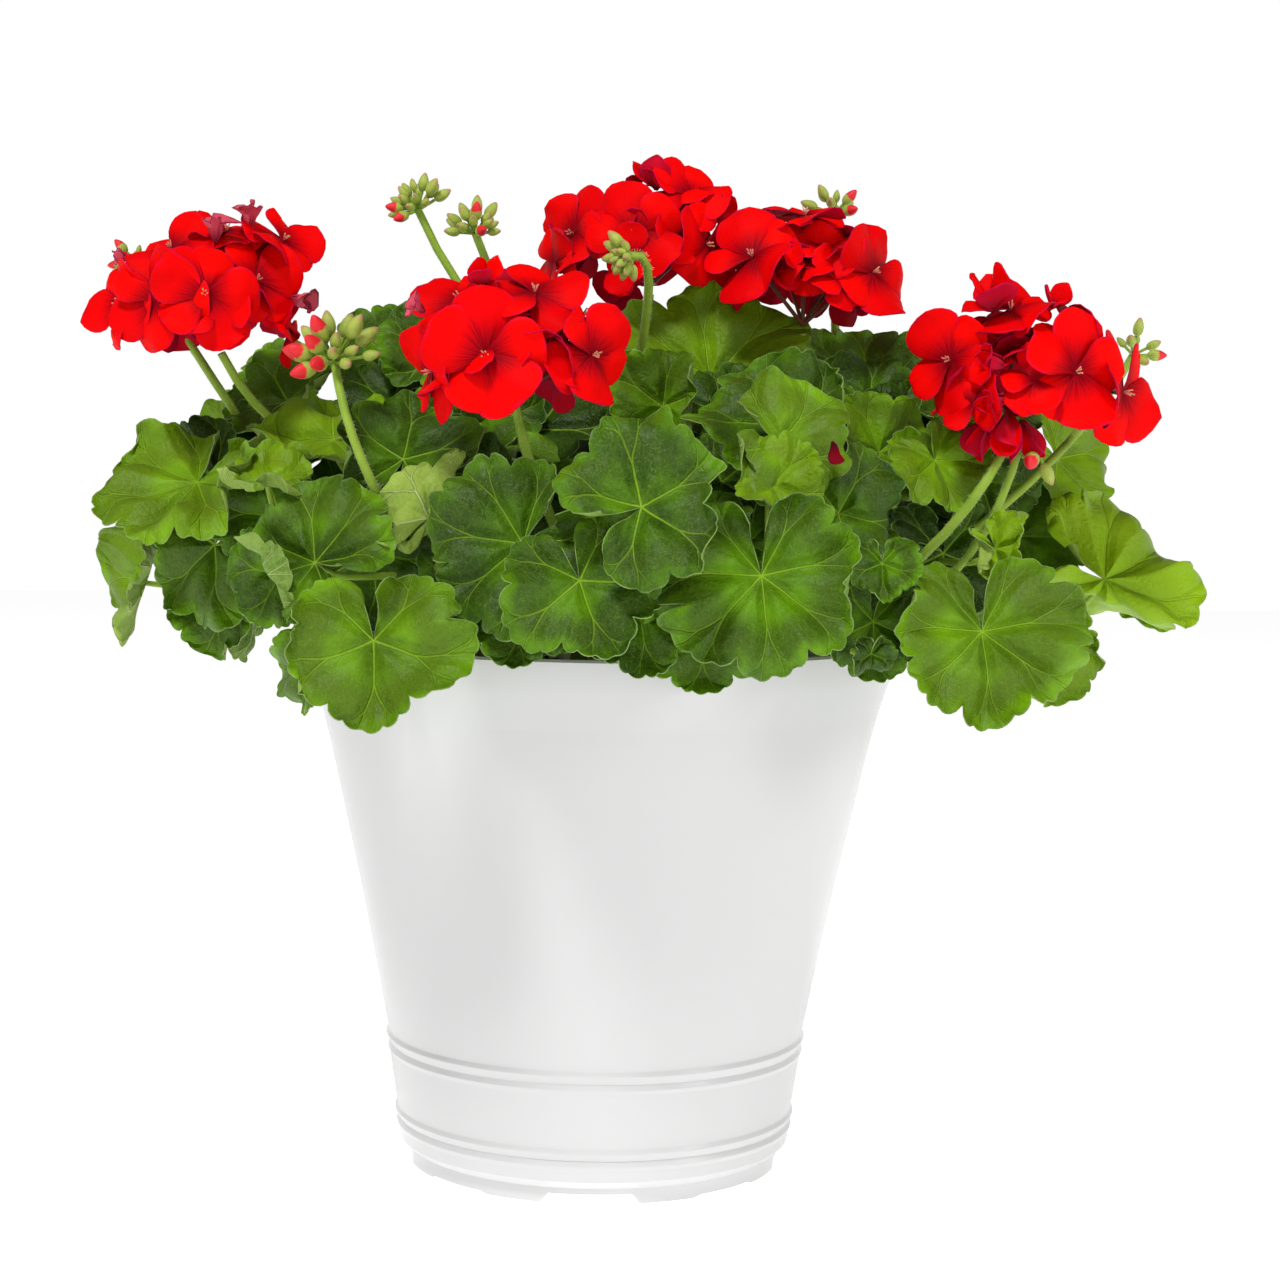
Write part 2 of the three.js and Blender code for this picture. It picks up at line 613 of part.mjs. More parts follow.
function potSolid() {
  const outer = [[footRadius - footWidth, 0], [footRadius, 0], [footRadius + 0.4, footHeight], [83.4, 10]];
  for (const pair of ridgePairs) {
    const valley = (pair[0] + pair[1]) / 2;
    outer.push([wallRadius(pair[0] - 2), pair[0] - 2], [wallRadius(pair[0]) + ridgeRise, pair[0]]);
    outer.push([wallRadius(valley), valley], [wallRadius(pair[1]) + ridgeRise, pair[1]]);
    outer.push([wallRadius(pair[1] + 2), pair[1] + 2]);
  }
  for (const z of [115, 190, potHeight - rimBand - 2]) outer.push([wallRadius(z), z]);
  outer.push([wallRadius(potHeight - rimBand) + 0.9, potHeight - rimBand], [rimRadius, potHeight - 1]);
  outer.push([rimRadius - 1.2, potHeight]);
  const inner = [
    [rimRadius - 3.4, potHeight], [rimRadius - 4, potHeight - rimBand],
    [wallRadius(115) - wallThickness, 115], [80.5, 12], [78, floorTop], [0, floorTop], [0, 0],
    [bossRadius, 0], [bossRadius, floorUnderside], [footRadius - footWidth, floorUnderside],
  ];
  let solid = toSolid(lathe([...outer, ...inner, outer[0]], potFacets).rotateZ(rad(facetTurn)));
  const inside = footRadius - footWidth - 1;
  for (let i = 0; i < notchCount; i++) {
    const direction = i * 360 / notchCount;
    solid = solid.subtract(sector(direction, notchHalfAngle, inside, 90, -1, notchHeight, 1.5));
    const halfway = direction + 180 / notchCount;
    const halfAngle = 180 / notchCount - padHalfAngle;
    solid = solid.subtract(sector(halfway, halfAngle, inside, 90, -1, padHeight, 0.5));
  }
  for (let i = 0; i < drainCount; i++) {
    const angle = (i + 0.5) * 2 * Math.PI / drainCount;
    const hole = new THREE.CylinderGeometry(drainRadius, drainRadius, 20, 6);
    hole.rotateX(Math.PI / 2);
    hole.translate(drainCircle * Math.cos(angle), drainCircle * Math.sin(angle), floorUnderside);
    solid = solid.subtract(toSolid(hole));
  }
  return solid;
}

// The soil fills the pot and swells a little towards the middle, in low lumps
function soilSolid() {
  const clear = wallThickness + 1.3;
  const geometry = lathe([
    [0, floorTop + gap], [77.5, floorTop + gap], [79.6, 13], [wallRadius(57) - clear, 57],
    [wallRadius(115) - clear, 115], [wallRadius(soilLevel) - clear - 1, soilLevel - 2],
    [56, soilLevel + 1.5], [0, soilLevel + 2],
  ], soilFacets);
  const position = geometry.attributes.position;
  for (let i = 0; i < position.count; i++) {
    const [x, y, z] = [position.getX(i), position.getY(i), position.getZ(i)];
    const lump = 1.6 * Math.sin(x / 9) * Math.cos(y / 11) + 1.1 * Math.sin((x + y) / 6);
    if (z > soilLevel - 1.5) position.setZ(i, z + (Math.hypot(x, y) > 1 ? lump : 0));
  }
  return toSolid(geometry);
}

const near = (a, b) => {
  const boxA = a.boundingBox();
  const boxB = b.boundingBox();
  return [0, 1, 2].every((k) => boxA.min[k] < boxB.max[k] && boxB.min[k] < boxA.max[k]);
};

function cutBy(solid, others) {
  return others.filter((other) => near(solid, other)).reduce((rest, other) => rest.subtract(other), solid);
}

// Room that leaves leave free round the pot's rim
const rimInside = rimRadius - 6;
const rimOutside = rimRadius + gap;
const rimTop = potHeight + gap;
const rimKeepOut = toSolid(lathe([
  [rimInside, 150], [rimOutside, 150], [rimOutside, rimTop], [rimInside, rimTop], [rimInside, 150],
], potFacets));

addPiece('pot', potSolid(), materials.pot);
addPiece('soil', cutBy(soilSolid(), tubes.map((tube) => tube.grown)), materials.soil);

// Stalks stay whole. Petals make room for stalks, and leaves for stalks, petals and the leaves before them
const done = [];
for (const name of [...Object.keys(heads), 'fallen_petal', ...Object.keys(stems)]) {
  const own = blades.filter((blade) => blade.node === name);
  const stalks = tubes.filter((tube) => tube.node === name).map((tube) => tube.solid);
  const others = tubes.filter((tube) => tube.node !== name).map((tube) => tube.grown);
  const inTheWay = [...others, ...done, rimKeepOut];
  const cut = own.map((blade) => cutBy(blade.solid, inTheWay)).filter((blade) => !blade.isEmpty());
  const whole = largest(joined([...stalks, ...cut]));
  addPiece(name, whole, name in stems ? materials.green : materials.red);
  done.push(...own.map((blade) => blade.grown));
}

export default plant;
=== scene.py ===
# A zonal geranium in a glossy white pot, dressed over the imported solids. The front of the pot faces -Y
import math
import random
import bmesh
import bpy
from mathutils import Matrix, Vector, noise


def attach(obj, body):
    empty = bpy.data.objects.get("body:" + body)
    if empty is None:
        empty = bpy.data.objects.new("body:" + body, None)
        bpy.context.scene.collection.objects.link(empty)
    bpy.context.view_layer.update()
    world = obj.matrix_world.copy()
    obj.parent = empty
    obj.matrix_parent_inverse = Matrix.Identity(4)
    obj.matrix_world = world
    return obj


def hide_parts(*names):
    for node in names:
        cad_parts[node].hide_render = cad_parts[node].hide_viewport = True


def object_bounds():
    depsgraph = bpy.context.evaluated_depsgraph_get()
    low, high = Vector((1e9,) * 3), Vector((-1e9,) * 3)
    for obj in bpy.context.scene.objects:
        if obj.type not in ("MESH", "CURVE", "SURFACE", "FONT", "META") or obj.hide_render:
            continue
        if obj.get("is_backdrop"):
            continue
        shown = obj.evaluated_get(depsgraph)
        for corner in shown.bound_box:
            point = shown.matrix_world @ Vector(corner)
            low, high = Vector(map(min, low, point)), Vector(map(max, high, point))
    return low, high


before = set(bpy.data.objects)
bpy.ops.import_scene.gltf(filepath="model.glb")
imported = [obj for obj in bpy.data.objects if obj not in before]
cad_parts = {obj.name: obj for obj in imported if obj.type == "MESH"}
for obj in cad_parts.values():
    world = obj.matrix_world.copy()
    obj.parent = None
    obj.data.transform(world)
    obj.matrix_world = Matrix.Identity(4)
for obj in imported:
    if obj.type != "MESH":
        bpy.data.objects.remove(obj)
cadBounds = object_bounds()
mm = 0.001
rad = math.radians
print("Frame loaded")

# Camera: as high as the flowers, far off, looking slightly down
camera = {
    "place": Vector((16.4, -1150, 309)) * mm,
    "pitchDown": 4.27,
    "roll": 0.98,
    "focusPixels": 2700,
    "framePixels": 1280,
    "sensor": 36,
}
cameraData = bpy.data.cameras.new("camera")
cameraData.sensor_width = camera["sensor"]
cameraData.lens = camera["focusPixels"] / camera["framePixels"] * camera["sensor"]
cameraObject = bpy.data.objects.new("camera", cameraData)
bpy.context.scene.collection.objects.link(cameraObject)
cameraObject.matrix_world = (
    Matrix.Translation(camera["place"])
    @ Matrix.Rotation(rad(90 - camera["pitchDown"]), 4, "X")
    @ Matrix.Rotation(rad(camera["roll"]), 4, "Z")
)
bpy.context.scene.camera = cameraObject
print("Camera placed")


def paint(hexColour):
    channels = [int(hexColour[i:i + 2], 16) / 255 for i in (1, 3, 5)]
    linear = [c / 12.92 if c <= 0.04045 else ((c + 0.055) / 1.055) ** 2.4 for c in channels]
    return (*linear, 1)


# Adds a node and gives back one of its outputs, so that it can be plugged into the next
def addNode(tree, kind, settings, inputs, output=0):
    node = tree.nodes.new("ShaderNode" + kind)
    for name, value in settings.items():
        setattr(node, name, value)
    for name, value in inputs.items():
        if isinstance(value, bpy.types.NodeSocket):
            tree.links.new(value, node.inputs[name])
        else:
            node.inputs[name].default_value = value
    return node.outputs[output] if node.outputs else None


# Settings that many nodes share, and the sockets of a range. A colour mix has its share at socket 0, its
# colours at 6 and 7 and its result at output 2
mixColours = {"data_type": "RGBA"}
softStep = {"interpolation_type": "SMOOTHSTEP"}
rangeEnds = ("Value", "From Min", "From Max", "To Min", "To Max")


def newMaterial(name):
    material = bpy.data.materials.new(name)
    material.use_nodes = True
    material.node_tree.nodes.clear()
    return material, material.node_tree


def finishPiece(piece, materials, slot, *nodes):
    for material in materials:
        piece.data.materials.append(material)
    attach(piece, "root")
    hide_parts(*nodes)


def meshPiece(name, bm):
    mesh = bpy.data.meshes.new(name)
    bm.to_mesh(mesh)
    bm.free()
    mesh.shade_smooth()
    piece = bpy.data.objects.new(name, mesh)
    bpy.context.scene.collection.objects.link(piece)
    return piece


# Polypropylene, injection moulded: an even white with a clear gloss and the faintest waves
def whitePolypropylene():
    material, tree = newMaterial("whitePolypropylene")
    place = addNode(tree, "TexCoord", {}, {}, "Object")
    waves = addNode(tree, "TexNoise", {}, {"Vector": place, "Scale": 1 / (22 * mm), "Detail": 1})
    bump = addNode(tree, "Bump", {}, {"Strength": 0.06, "Distance": 0.4 * mm, "Height": waves})
    shader = addNode(tree, "BsdfPrincipled", {}, {
        "Base Color": paint("#d0d0d0"), "Roughness": 0.24, "IOR": 1.49, "Specular IOR Level": 0.22,
        "Normal": bump,
    })
    addNode(tree, "OutputMaterial", {}, {"Surface": shader})
    return material


# Peat based potting soil, moist: near black brown crumbs with paler fibres between them
def pottingSoil():
    material, tree = newMaterial("pottingSoil")
    place = addNode(tree, "TexCoord", {}, {}, "Object")
    crumbs = addNode(tree, "TexNoise", {}, {"Vector": place, "Scale": 1 / (5 * mm), "Detail": 6})
    colour = addNode(tree, "Mix", mixColours, {0: crumbs, 6: paint("#0f0a06"), 7: paint("#4a3522")}, 2)
    bump = addNode(tree, "Bump", {}, {"Strength": 0.9, "Distance": 2 * mm, "Height": crumbs})
    shader = addNode(tree, "BsdfPrincipled", {}, {
        "Base Color": colour, "Roughness": 0.93, "Normal": bump,
    })
    addNode(tree, "OutputMaterial", {}, {"Surface": shader})
    return material


# How far a point of a blade lies from the nearest vein, in lobe widths. The blade's UV map counts lobes
# round the stalk along u and the way to the margin along v. Each main vein parts in two, twice
def veinDistance(tree, ways, wobble):
    across, v = (addNode(tree, "SeparateXYZ", {}, {0: ways}, axis) for axis in "XY")
    shift = addNode(tree, "Math", {"operation": "MULTIPLY_ADD"}, {0: wobble, 1: 0.16, 2: -0.08})
    for operation, amount in (("ADD", shift), ("FRACT", 0), ("SUBTRACT", 0.5), ("ABSOLUTE", 0)):
        across = addNode(tree, "Math", {"operation": operation}, {0: across, 1: amount})
    for start, spread in ((0.4, 0.42), (0.68, 0.3)):
        part = v
        for operation, amount in (("SUBTRACT", start), ("MAXIMUM", 0), ("MULTIPLY", spread)):
            part = addNode(tree, "Math", {"operation": operation}, {0: part, 1: amount})
        for operation, amount in (("SUBTRACT", part), ("ABSOLUTE", 0)):
            across = addNode(tree, "Math", {"operation": operation}, {0: across, 1: amount})
    return addNode(tree, "Math", {"operation": "MULTIPLY"}, {0: across, 1: v}), v


# Leaf tissue, alive: satin and finely haired, a net of cells between lighter veins, and a zone of duller green
# half way out. The tone attribute makes new, thin leaves yellower, paints a glow of light into backlit leaves,
# and paints shade into shaded ones, whose green it darkens
def leafTissue(name, look):
    material, tree = newMaterial(name)
    place = addNode(tree, "TexCoord", {}, {}, "Object")
    ways = addNode(tree, "UVMap", {"uv_map": "blade"}, {})
    tone = addNode(tree, "Attribute", {"attribute_name": "tone"}, {}, "Fac")
    patches = addNode(tree, "TexNoise", {}, {"Vector": place, "Scale": 1 / (26 * mm), "Detail": 3})
    hairs = addNode(tree, "TexNoise", {}, {"Vector": place, "Scale": 1 / (0.7 * mm), "Detail": 2})
    net = addNode(tree, "TexVoronoi", {"feature": "DISTANCE_TO_EDGE"}, {
        "Vector": place, "Scale": 1 / (3.2 * mm),
    })
    netLine = addNode(tree, "MapRange", {}, dict(zip(rangeEnds, (net, 0, 0.12, look["net"], 0))))
    distance, v = veinDistance(tree, ways, patches)
    ranges = {
        "patch": (patches, 0.32, 0.66, 0, 1),
        "zoneStart": (v, 0.28, 0.56, 0, 0.85),
        "zoneEnd": (v, 0.66, 0.9, 1, 0),
        "vein": (distance, 0.004, 0.017, 1, 0),
        "pillow": (distance, 0, 0.11, 0, look["pillow"]),
        "edge": (v, 0.965, 1, 0, 0.4),
        "bloom": (hairs, 0.5, 0.75, 0, look["bloom"]),
    }
    share = {
        part: addNode(tree, "MapRange", softStep, dict(zip(rangeEnds, ends))) for part, ends in ranges.items()
    }
    zone = addNode(tree, "Math", {"operation": "MULTIPLY"}, {0: share["zoneStart"], 1: share["zoneEnd"]})
    # Above 0 the tone mixes in new growth and a painted backlight glow, below 0 a painted shade
    youngAndBacklit = addNode(tree, "Math", {"operation": "MAXIMUM"}, {0: tone, 1: 0})
    paintedShade = addNode(tree, "Math", {"operation": "MULTIPLY", "use_clamp": True}, {0: tone, 1: -1})
    fade = addNode(tree, "Math", {"operation": "MULTIPLY_ADD"}, {0: v, 1: -0.75, 2: look["veinShow"]})
    vein = addNode(tree, "Math", {"operation": "MULTIPLY", "use_clamp": True}, {0: share["vein"], 1: fade})
    colour = paint(look["dark"])
    for amount, layer in (
        (share["patch"], "light"), (zone, "zone"), (youngAndBacklit, "youngAndBacklit"), (paintedShade, "shadeGreen"), (netLine, "vein"),
        (vein, "vein"), (share["edge"], "margin"), (share["bloom"], "vein"),
    ):
        colour = addNode(tree, "Mix", mixColours, {0: amount, 6: colour, 7: paint(look[layer])}, 2)
    relief = net
    for height, rise in ((hairs, 0.6), (share["vein"], look["veinRise"]), (share["pillow"], 1)):
        relief = addNode(tree, "Math", {"operation": "MULTIPLY_ADD"}, {0: height, 1: rise, 2: relief})
    bump = addNode(tree, "Bump", {}, {"Strength": 0.75, "Distance": 0.7 * mm, "Height": relief})
    shader = addNode(tree, "BsdfPrincipled", {}, {
        "Base Color": colour, "Roughness": look["roughness"], "Specular IOR Level": 0.2,
        "Sheen Weight": 0.02, "Sheen Roughness": 0.4, "Normal": bump,
    })
    addNode(tree, "OutputMaterial", {}, {"Surface": shader})
    return material


# Green stalk: juicy and ribbed, paler than the leaves, with a bloom of short white hairs
def hairyStalk(name, dark, light):
    material, tree = newMaterial(name)
    place = addNode(tree, "TexCoord", {}, {}, "Object")
    streaks = addNode(tree, "TexNoise", {}, {"Vector": place, "Scale": 1 / (9 * mm), "Detail": 4})
    colour = addNode(tree, "Mix", mixColours, {0: streaks, 6: paint(dark), 7: paint(light)}, 2)
    hairs = addNode(tree, "TexNoise", {}, {"Vector": place, "Scale": 1 / (0.8 * mm), "Detail": 1})
    bump = addNode(tree, "Bump", {}, {"Strength": 0.3, "Distance": 0.3 * mm, "Height": hairs})
    shader = addNode(tree, "BsdfPrincipled", {}, {
        "Base Color": colour, "Roughness": 0.5, "Specular IOR Level": 0.25, "Sheen Weight": 0.12,
        "Sheen Roughness": 0.3, "Normal": bump,
    })
    addNode(tree, "OutputMaterial", {}, {"Surface": shader})
    return material


# Petal, scarlet: velvety, crimson along its rim, with darker lines that run out from a deep red foot.
# Its UV map holds the way across along u, from -1 to 1, and the way to the rim along v
def scarletPetal(name, look):
    material, tree = newMaterial(name)
    place = addNode(tree, "TexCoord", {}, {}, "Object")
    ways = addNode(tree, "UVMap", {"uv_map": "petal"}, {})
    u, v = (addNode(tree, "SeparateXYZ", {}, {0: ways}, axis) for axis in "XY")
    tone = addNode(tree, "Attribute", {"attribute_name": "tone"}, {}, "Fac")
    side = addNode(tree, "Math", {"operation": "ABSOLUTE"}, {0: u})
    rim = addNode(tree, "Math", {"operation": "MAXIMUM"}, {0: side, 1: v})
    rim = addNode(tree, "MapRange", softStep, dict(zip(rangeEnds, (rim, 0.86, 1, 0, 0.75))))
    stretched = addNode(tree, "VectorMath", {"operation": "MULTIPLY"}, {0: ways, 1: (14, 1.2, 0)})
    lines = addNode(tree, "TexNoise", {"noise_dimensions": "2D"}, {
        "Vector": stretched, "Scale": 1, "Detail": 2,
    })
    foot = addNode(tree, "MapRange", softStep, dict(zip(rangeEnds, (v, 0.02, 0.5, 2, 0))))
    foot = addNode(tree, "Math", {"operation": "MULTIPLY", "use_clamp": True}, {0: foot, 1: lines})
    colour = paint(look["middle"])
    for amount, layer in ((tone, "other"), (rim, "rim"), (foot, "foot")):
        colour = addNode(tree, "Mix", mixColours, {0: amount, 6: colour, 7: paint(look[layer])}, 2)
    grain = addNode(tree, "TexNoise", {}, {"Vector": place, "Scale": 1 / (1.2 * mm), "Detail": 2})
    relief = addNode(tree, "Math", {"operation": "MULTIPLY_ADD"}, {0: lines, 1: 2, 2: grain})
    bump = addNode(tree, "Bump", {}, {"Strength": 0.18, "Distance": 0.3 * mm, "Height": relief})
    shader = addNode(tree, "BsdfPrincipled", {}, {
        "Base Color": colour, "Roughness": 0.6, "Specular IOR Level": 0.04, "Normal": bump,
    })
    addNode(tree, "OutputMaterial", {}, {"Surface": shader})
    return material


# Flower bud: hairy sepals, yellow green with pink tips. The ripe attribute shows the petals at the tip
def hairyBud():
    material, tree = newMaterial("hairyBud")
    place = addNode(tree, "TexCoord", {}, {}, "Object")
    tip = addNode(tree, "Attribute", {"attribute_name": "tip"}, {}, "Fac")
    ripe = addNode(tree, "Attribute", {"attribute_name": "ripe"}, {}, "Fac")
    patches = addNode(tree, "TexNoise", {}, {"Vector": place, "Scale": 1 / (3 * mm), "Detail": 3})
    pink = addNode(tree, "MapRange", softStep, dict(zip(rangeEnds, (tip, 0.7, 1, 0, 0.55))))
    petals = addNode(tree, "Math", {"operation": "MULTIPLY_ADD"}, {0: patches, 1: 0.3, 2: tip})
    petals = addNode(tree, "MapRange", softStep, dict(zip(rangeEnds, (petals, 0.62, 0.72, 0, 1))))
    petals = addNode(tree, "Math", {"operation": "MULTIPLY"}, {0: petals, 1: ripe})
    colour = paint("#82992a")
    for amount, layer in ((patches, "#c0cc5c"), (pink, "#c0506a"), (petals, "#e01020")):
        colour = addNode(tree, "Mix", mixColours, {0: amount, 6: colour, 7: paint(layer)}, 2)
    hairs = addNode(tree, "TexNoise", {}, {"Vector": place, "Scale": 1 / (0.6 * mm), "Detail": 2})
    bump = addNode(tree, "Bump", {}, {"Strength": 0.5, "Distance": 0.4 * mm, "Height": hairs})
    shader = addNode(tree, "BsdfPrincipled", {}, {
        "Base Color": colour, "Roughness": 0.55, "Sheen Weight": 0.2, "Sheen Roughness": 0.3, "Normal": bump,
    })
    addNode(tree, "OutputMaterial", {}, {"Surface": shader})
    return material


potPlastic = whitePolypropylene()
soilMix = pottingSoil()
leafFace = leafTissue("leafFace", {
    "dark": "#284802", "light": "#649604", "zone": "#3a5410", "youngAndBacklit": "#98c008", "shadeGreen": "#122c04",
    "vein": "#84ac1c", "margin": "#86ab58", "net": 0.07, "veinShow": 0.8, "veinRise": -1.2, "pillow": 2.6,
    "roughness": 0.42, "bloom": 0.24,
})
leafBack = leafTissue("leafBack", {
    "dark": "#5c8028", "light": "#88a644", "zone": "#6c8c3a", "youngAndBacklit": "#a0ba44", "shadeGreen": "#42641e",
    "vein": "#aec474", "margin": "#98b060", "net": 0.2, "veinShow": 1.2, "veinRise": 2, "pillow": -2,
    "roughness": 0.62, "bloom": 0.3,
})
leafRim = hairyStalk("leafRim", "#6c8e3a", "#98b264")
leafStalk = hairyStalk("leafStalk", "#6f9420", "#a0bc44")
stemBark = hairyStalk("stemBark", "#5f7a24", "#8a8f3e")
flowerPedicel = hairyStalk("flowerPedicel", "#4a2018", "#7c4a22")
petal = scarletPetal("scarletPetal", {
    "middle": "#f40300", "other": "#e20005", "rim": "#d4082c", "foot": "#780010",
})
petalBack = scarletPetal("petalBack", {
    "middle": "#d80c24", "other": "#c01030", "rim": "#b81048", "foot": "#a02038",
})
witheredPetal = scarletPetal("witheredPetal", {
    "middle": "#dc5c6c", "other": "#c03c50", "rim": "#84183c", "foot": "#a82844",
})
fadedPetal = scarletPetal("fadedPetal", {
    "middle": "#8c0418", "other": "#6a0418", "rim": "#50081c", "foot": "#3c0410",
})
stamenPink = hairyStalk("stamenPink", "#c84840", "#f0a890")
sepalGreen = hairyStalk("sepalGreen", "#7a6a2c", "#9aa04a")
whiteHair = hairyStalk("whiteHair", "#dfe6c4", "#f4f6e6")
bud = hairyBud()
print("Materials made")


# Pot, in millimetres: radii and heights of the wall from the foot up, then down the inside and under the
# floor
pot = {
    "foot": [(73.1, 0), (79.1, 0), (79.5, 6.5), (83.4, 10)],
    "ridges": [(16.6, 84.1), (22, 84.8), (48.7, 88.1), (54.5, 88.9)],  # height and radius of each
    "ridgeRise": 0.85,
    "ridgeHalf": 2.3,
    "wall": [(100.4, 115), (116.8, 190), (123.4, 210.4), (124.9, 213.6), (127, 223.4), (125.8, 224.4)],
    "inside": [(123.6, 224.4), (123, 212.9), (98.2, 115), (80.5, 12), (78, 9.2), (0, 9.2)],
    "boss": [(0, 0), (26, 0), (26, 5.5), (73.1, 5.5)],
    "steps": 144,
    "footInside": 60,
    "notchHalf": 13,
    "notchRise": 4,
    "padHalf": 34,
    "padRise": 1,
    "drainRadius": 5,
    "drainCircle": 52,
    "drainDepth": 12,
    "drainMiddle": 7,
    "edgeRadius": 0.5,
    "edgeSegments": 3,
    "edgeAngle": 28,
}


# A body of revolution from a profile of radii and heights. A closed profile also joins its last point to its
# first
def turned(profile, steps, closed):
    bm = bmesh.new()
    verts = [bm.verts.new((0, -r * mm, z * mm)) for r, z in profile]
    ends = verts[1:] + verts[:1] if closed else verts[1:]
    edges = [bm.edges.new(pair) for pair in zip(verts, ends)]
    bmesh.ops.spin(
        bm, geom=verts + edges, cent=(0, 0, 0), axis=(0, 0, 1), angle=rad(360), steps=steps, use_merge=True,
        use_duplicate=False,
    )
    bmesh.ops.remove_doubles(bm, verts=bm.verts, dist=0.02 * mm)
    return bm


def makePot():
    profile = list(pot["foot"])
    for height, radius in pot["ridges"]:
        for step in range(-3, 4):
            share = step / 3
            rise = pot["ridgeRise"] * (0.5 + 0.5 * math.cos(math.pi * share))
            profile.append((radius + rise, height + share * pot["ridgeHalf"]))
    bm = turned(profile + pot["wall"] + pot["inside"] + pot["boss"], pot["steps"], True)
    # the foot ring's underside steps up at four notches and between its pads
    for vert in bm.verts:
        if vert.co.z > 0.1 * mm or math.hypot(vert.co.x, vert.co.y) < pot["footInside"] * mm:
            continue
        turn = abs((math.degrees(math.atan2(vert.co.x, -vert.co.y)) + 45) % 90 - 45)
        if turn < pot["notchHalf"]:
            vert.co.z = pot["notchRise"] * mm
        elif turn > pot["padHalf"]:
            vert.co.z = pot["padRise"] * mm
    bmesh.ops.recalc_face_normals(bm, faces=bm.faces)
    return meshPiece("potShell", bm)


def cutDrainHoles(shell):
    bm = bmesh.new()
    for i in range(4):
        turn = rad(45 + 90 * i)
        out = Vector((math.cos(turn), math.sin(turn), 0)) * pot["drainCircle"] * mm
        place = Matrix.Translation(out + Vector((0, 0, pot["drainMiddle"] * mm)))
        bmesh.ops.create_cone(
            bm, cap_ends=True, segments=32, radius1=pot["drainRadius"] * mm, radius2=pot["drainRadius"] * mm,
            depth=pot["drainDepth"] * mm, matrix=place)
    cutter = meshPiece("drainCutter", bm)
    cut = shell.modifiers.new("drainHoles", "BOOLEAN")
    cut.operation = "DIFFERENCE"
    cut.object = cutter
    soften = shell.modifiers.new("softEdges", "BEVEL")
    soften.width = pot["edgeRadius"] * mm
    soften.segments = pot["edgeSegments"]
    soften.limit_method = "ANGLE"
    soften.angle_limit = rad(pot["edgeAngle"])
    shade = shell.modifiers.new("evenShading", "WEIGHTED_NORMAL")
    shade.keep_sharp = True
    graph = bpy.context.evaluated_depsgraph_get()
    mesh = bpy.data.meshes.new_from_object(shell.evaluated_get(graph))
    shell.modifiers.clear()
    shell.data = mesh
    bpy.data.objects.remove(cutter)


potShell = makePot()
cutDrainHoles(potShell)
finishPiece(potShell, [potPlastic], "pot", "pot")
print("Pot made")


# Soil: a plug with a lumpy top, and loose crumbs lying on it
soil = {
    "level": 204.4,
    "radius": 115.6,
    "below": [(96.9, 115), (85.7, 57), (79.6, 13), (77.5, 9.6), (0, 9.6)],
    "rings": 26,
    "steps": 120,
    "lump": 2.2,
    "lumpLength": 11,
    "crumbs": 420,
    "crumbRadius": (0.8, 2.4),
    "crumbMargin": 3,
}


def soilHeight(x, y):
    lumps = noise.fractal(Vector((x, y, 0)) / (soil["lumpLength"] * mm), 0.6, 2.1, 4)
    return (soil["level"] + 1 + soil["lump"] * lumps) * mm


def makeSoil():
    top = [(soil["radius"] * i / soil["rings"], soil["level"]) for i in range(soil["rings"] + 1)]
    bm = turned(top + soil["below"], soil["steps"], False)
    for vert in bm.verts:
        if vert.co.z > 0.9 * soil["level"] * mm:
            vert.co.z = soilHeight(vert.co.x, vert.co.y)
    bmesh.ops.recalc_face_normals(bm, faces=bm.faces)
    random.seed(5)
    for _ in range(soil["crumbs"]):
        turn = random.uniform(0, 2 * math.pi)
        out = (soil["radius"] - soil["crumbMargin"]) * math.sqrt(random.random()) * mm
        x = out * math.cos(turn)
        y = out * math.sin(turn)
        size = random.uniform(*soil["crumbRadius"]) * mm
        place = Matrix.Translation((x, y, soilHeight(x, y) + 0.3 * size))
        leanAngle = random.uniform(0, 3)
        axis = Vector((random.random(), random.random(), 1)).normalized()
        lean = Matrix.Rotation(leanAngle, 4, axis)
        shape = Matrix.Diagonal((1, random.uniform(0.5, 1), random.uniform(0.4, 0.8), 1))
        bmesh.ops.create_icosphere(bm, subdivisions=1, radius=size, matrix=place @ lean @ shape)
    return meshPiece("soilPlug", bm)


soilPlug = makeSoil()
finishPiece(soilPlug, [soilMix], "soil", "soil")
print("Soil made")

# The plant follows the solids' own rules: their stems, stalk curves and evenly spread numbers. Some rows of
# leaves, florets and buds stand a few millimetres off the solids' or face another way. Radii are from a
# stalk's foot to its end
plant = {
    "stemRootDepth": 28,
    "stemRadii": (4.2, 3.2),
    "leafStalkRadii": (1.7, 1.2),
    "flowerStalkRadii": (2.2, 1.9),
    "secondStalkRadii": (1.9, 1.6),
    "budStalkRadii": (2.2, 1.7),
    "hangingStalkRadii": (0.7, 0.8),
    "budPedicelRadii": (0.6, 0.7),
    "floretPedicelRadii": (0.9, 0.8),
    "sinusHalfAngle": 11,
    "bigLeaf": 36,
    "headDrop": 3.58,
}
# The first twelve purposes have the solids' own numbers, so that both draw the same
purposes = {
    "wave": 1, "dish": 2, "floretTurn": 3, "petal": 4, "branch": 5, "direction": 6, "distance": 7, "height": 8,
    "size": 9, "facing": 10, "turn": 11, "bud": 12, "tone": 13, "curl": 15,
}
indexStep = 0.618034
purposeStep = 0.754878
goldenAngle = 2.39996


def draw(index, purpose):
    return (index * indexStep + purposes[purpose] * purposeStep) % 1


def drawAbout(index, purpose):
    return draw(index, purpose) - 0.5


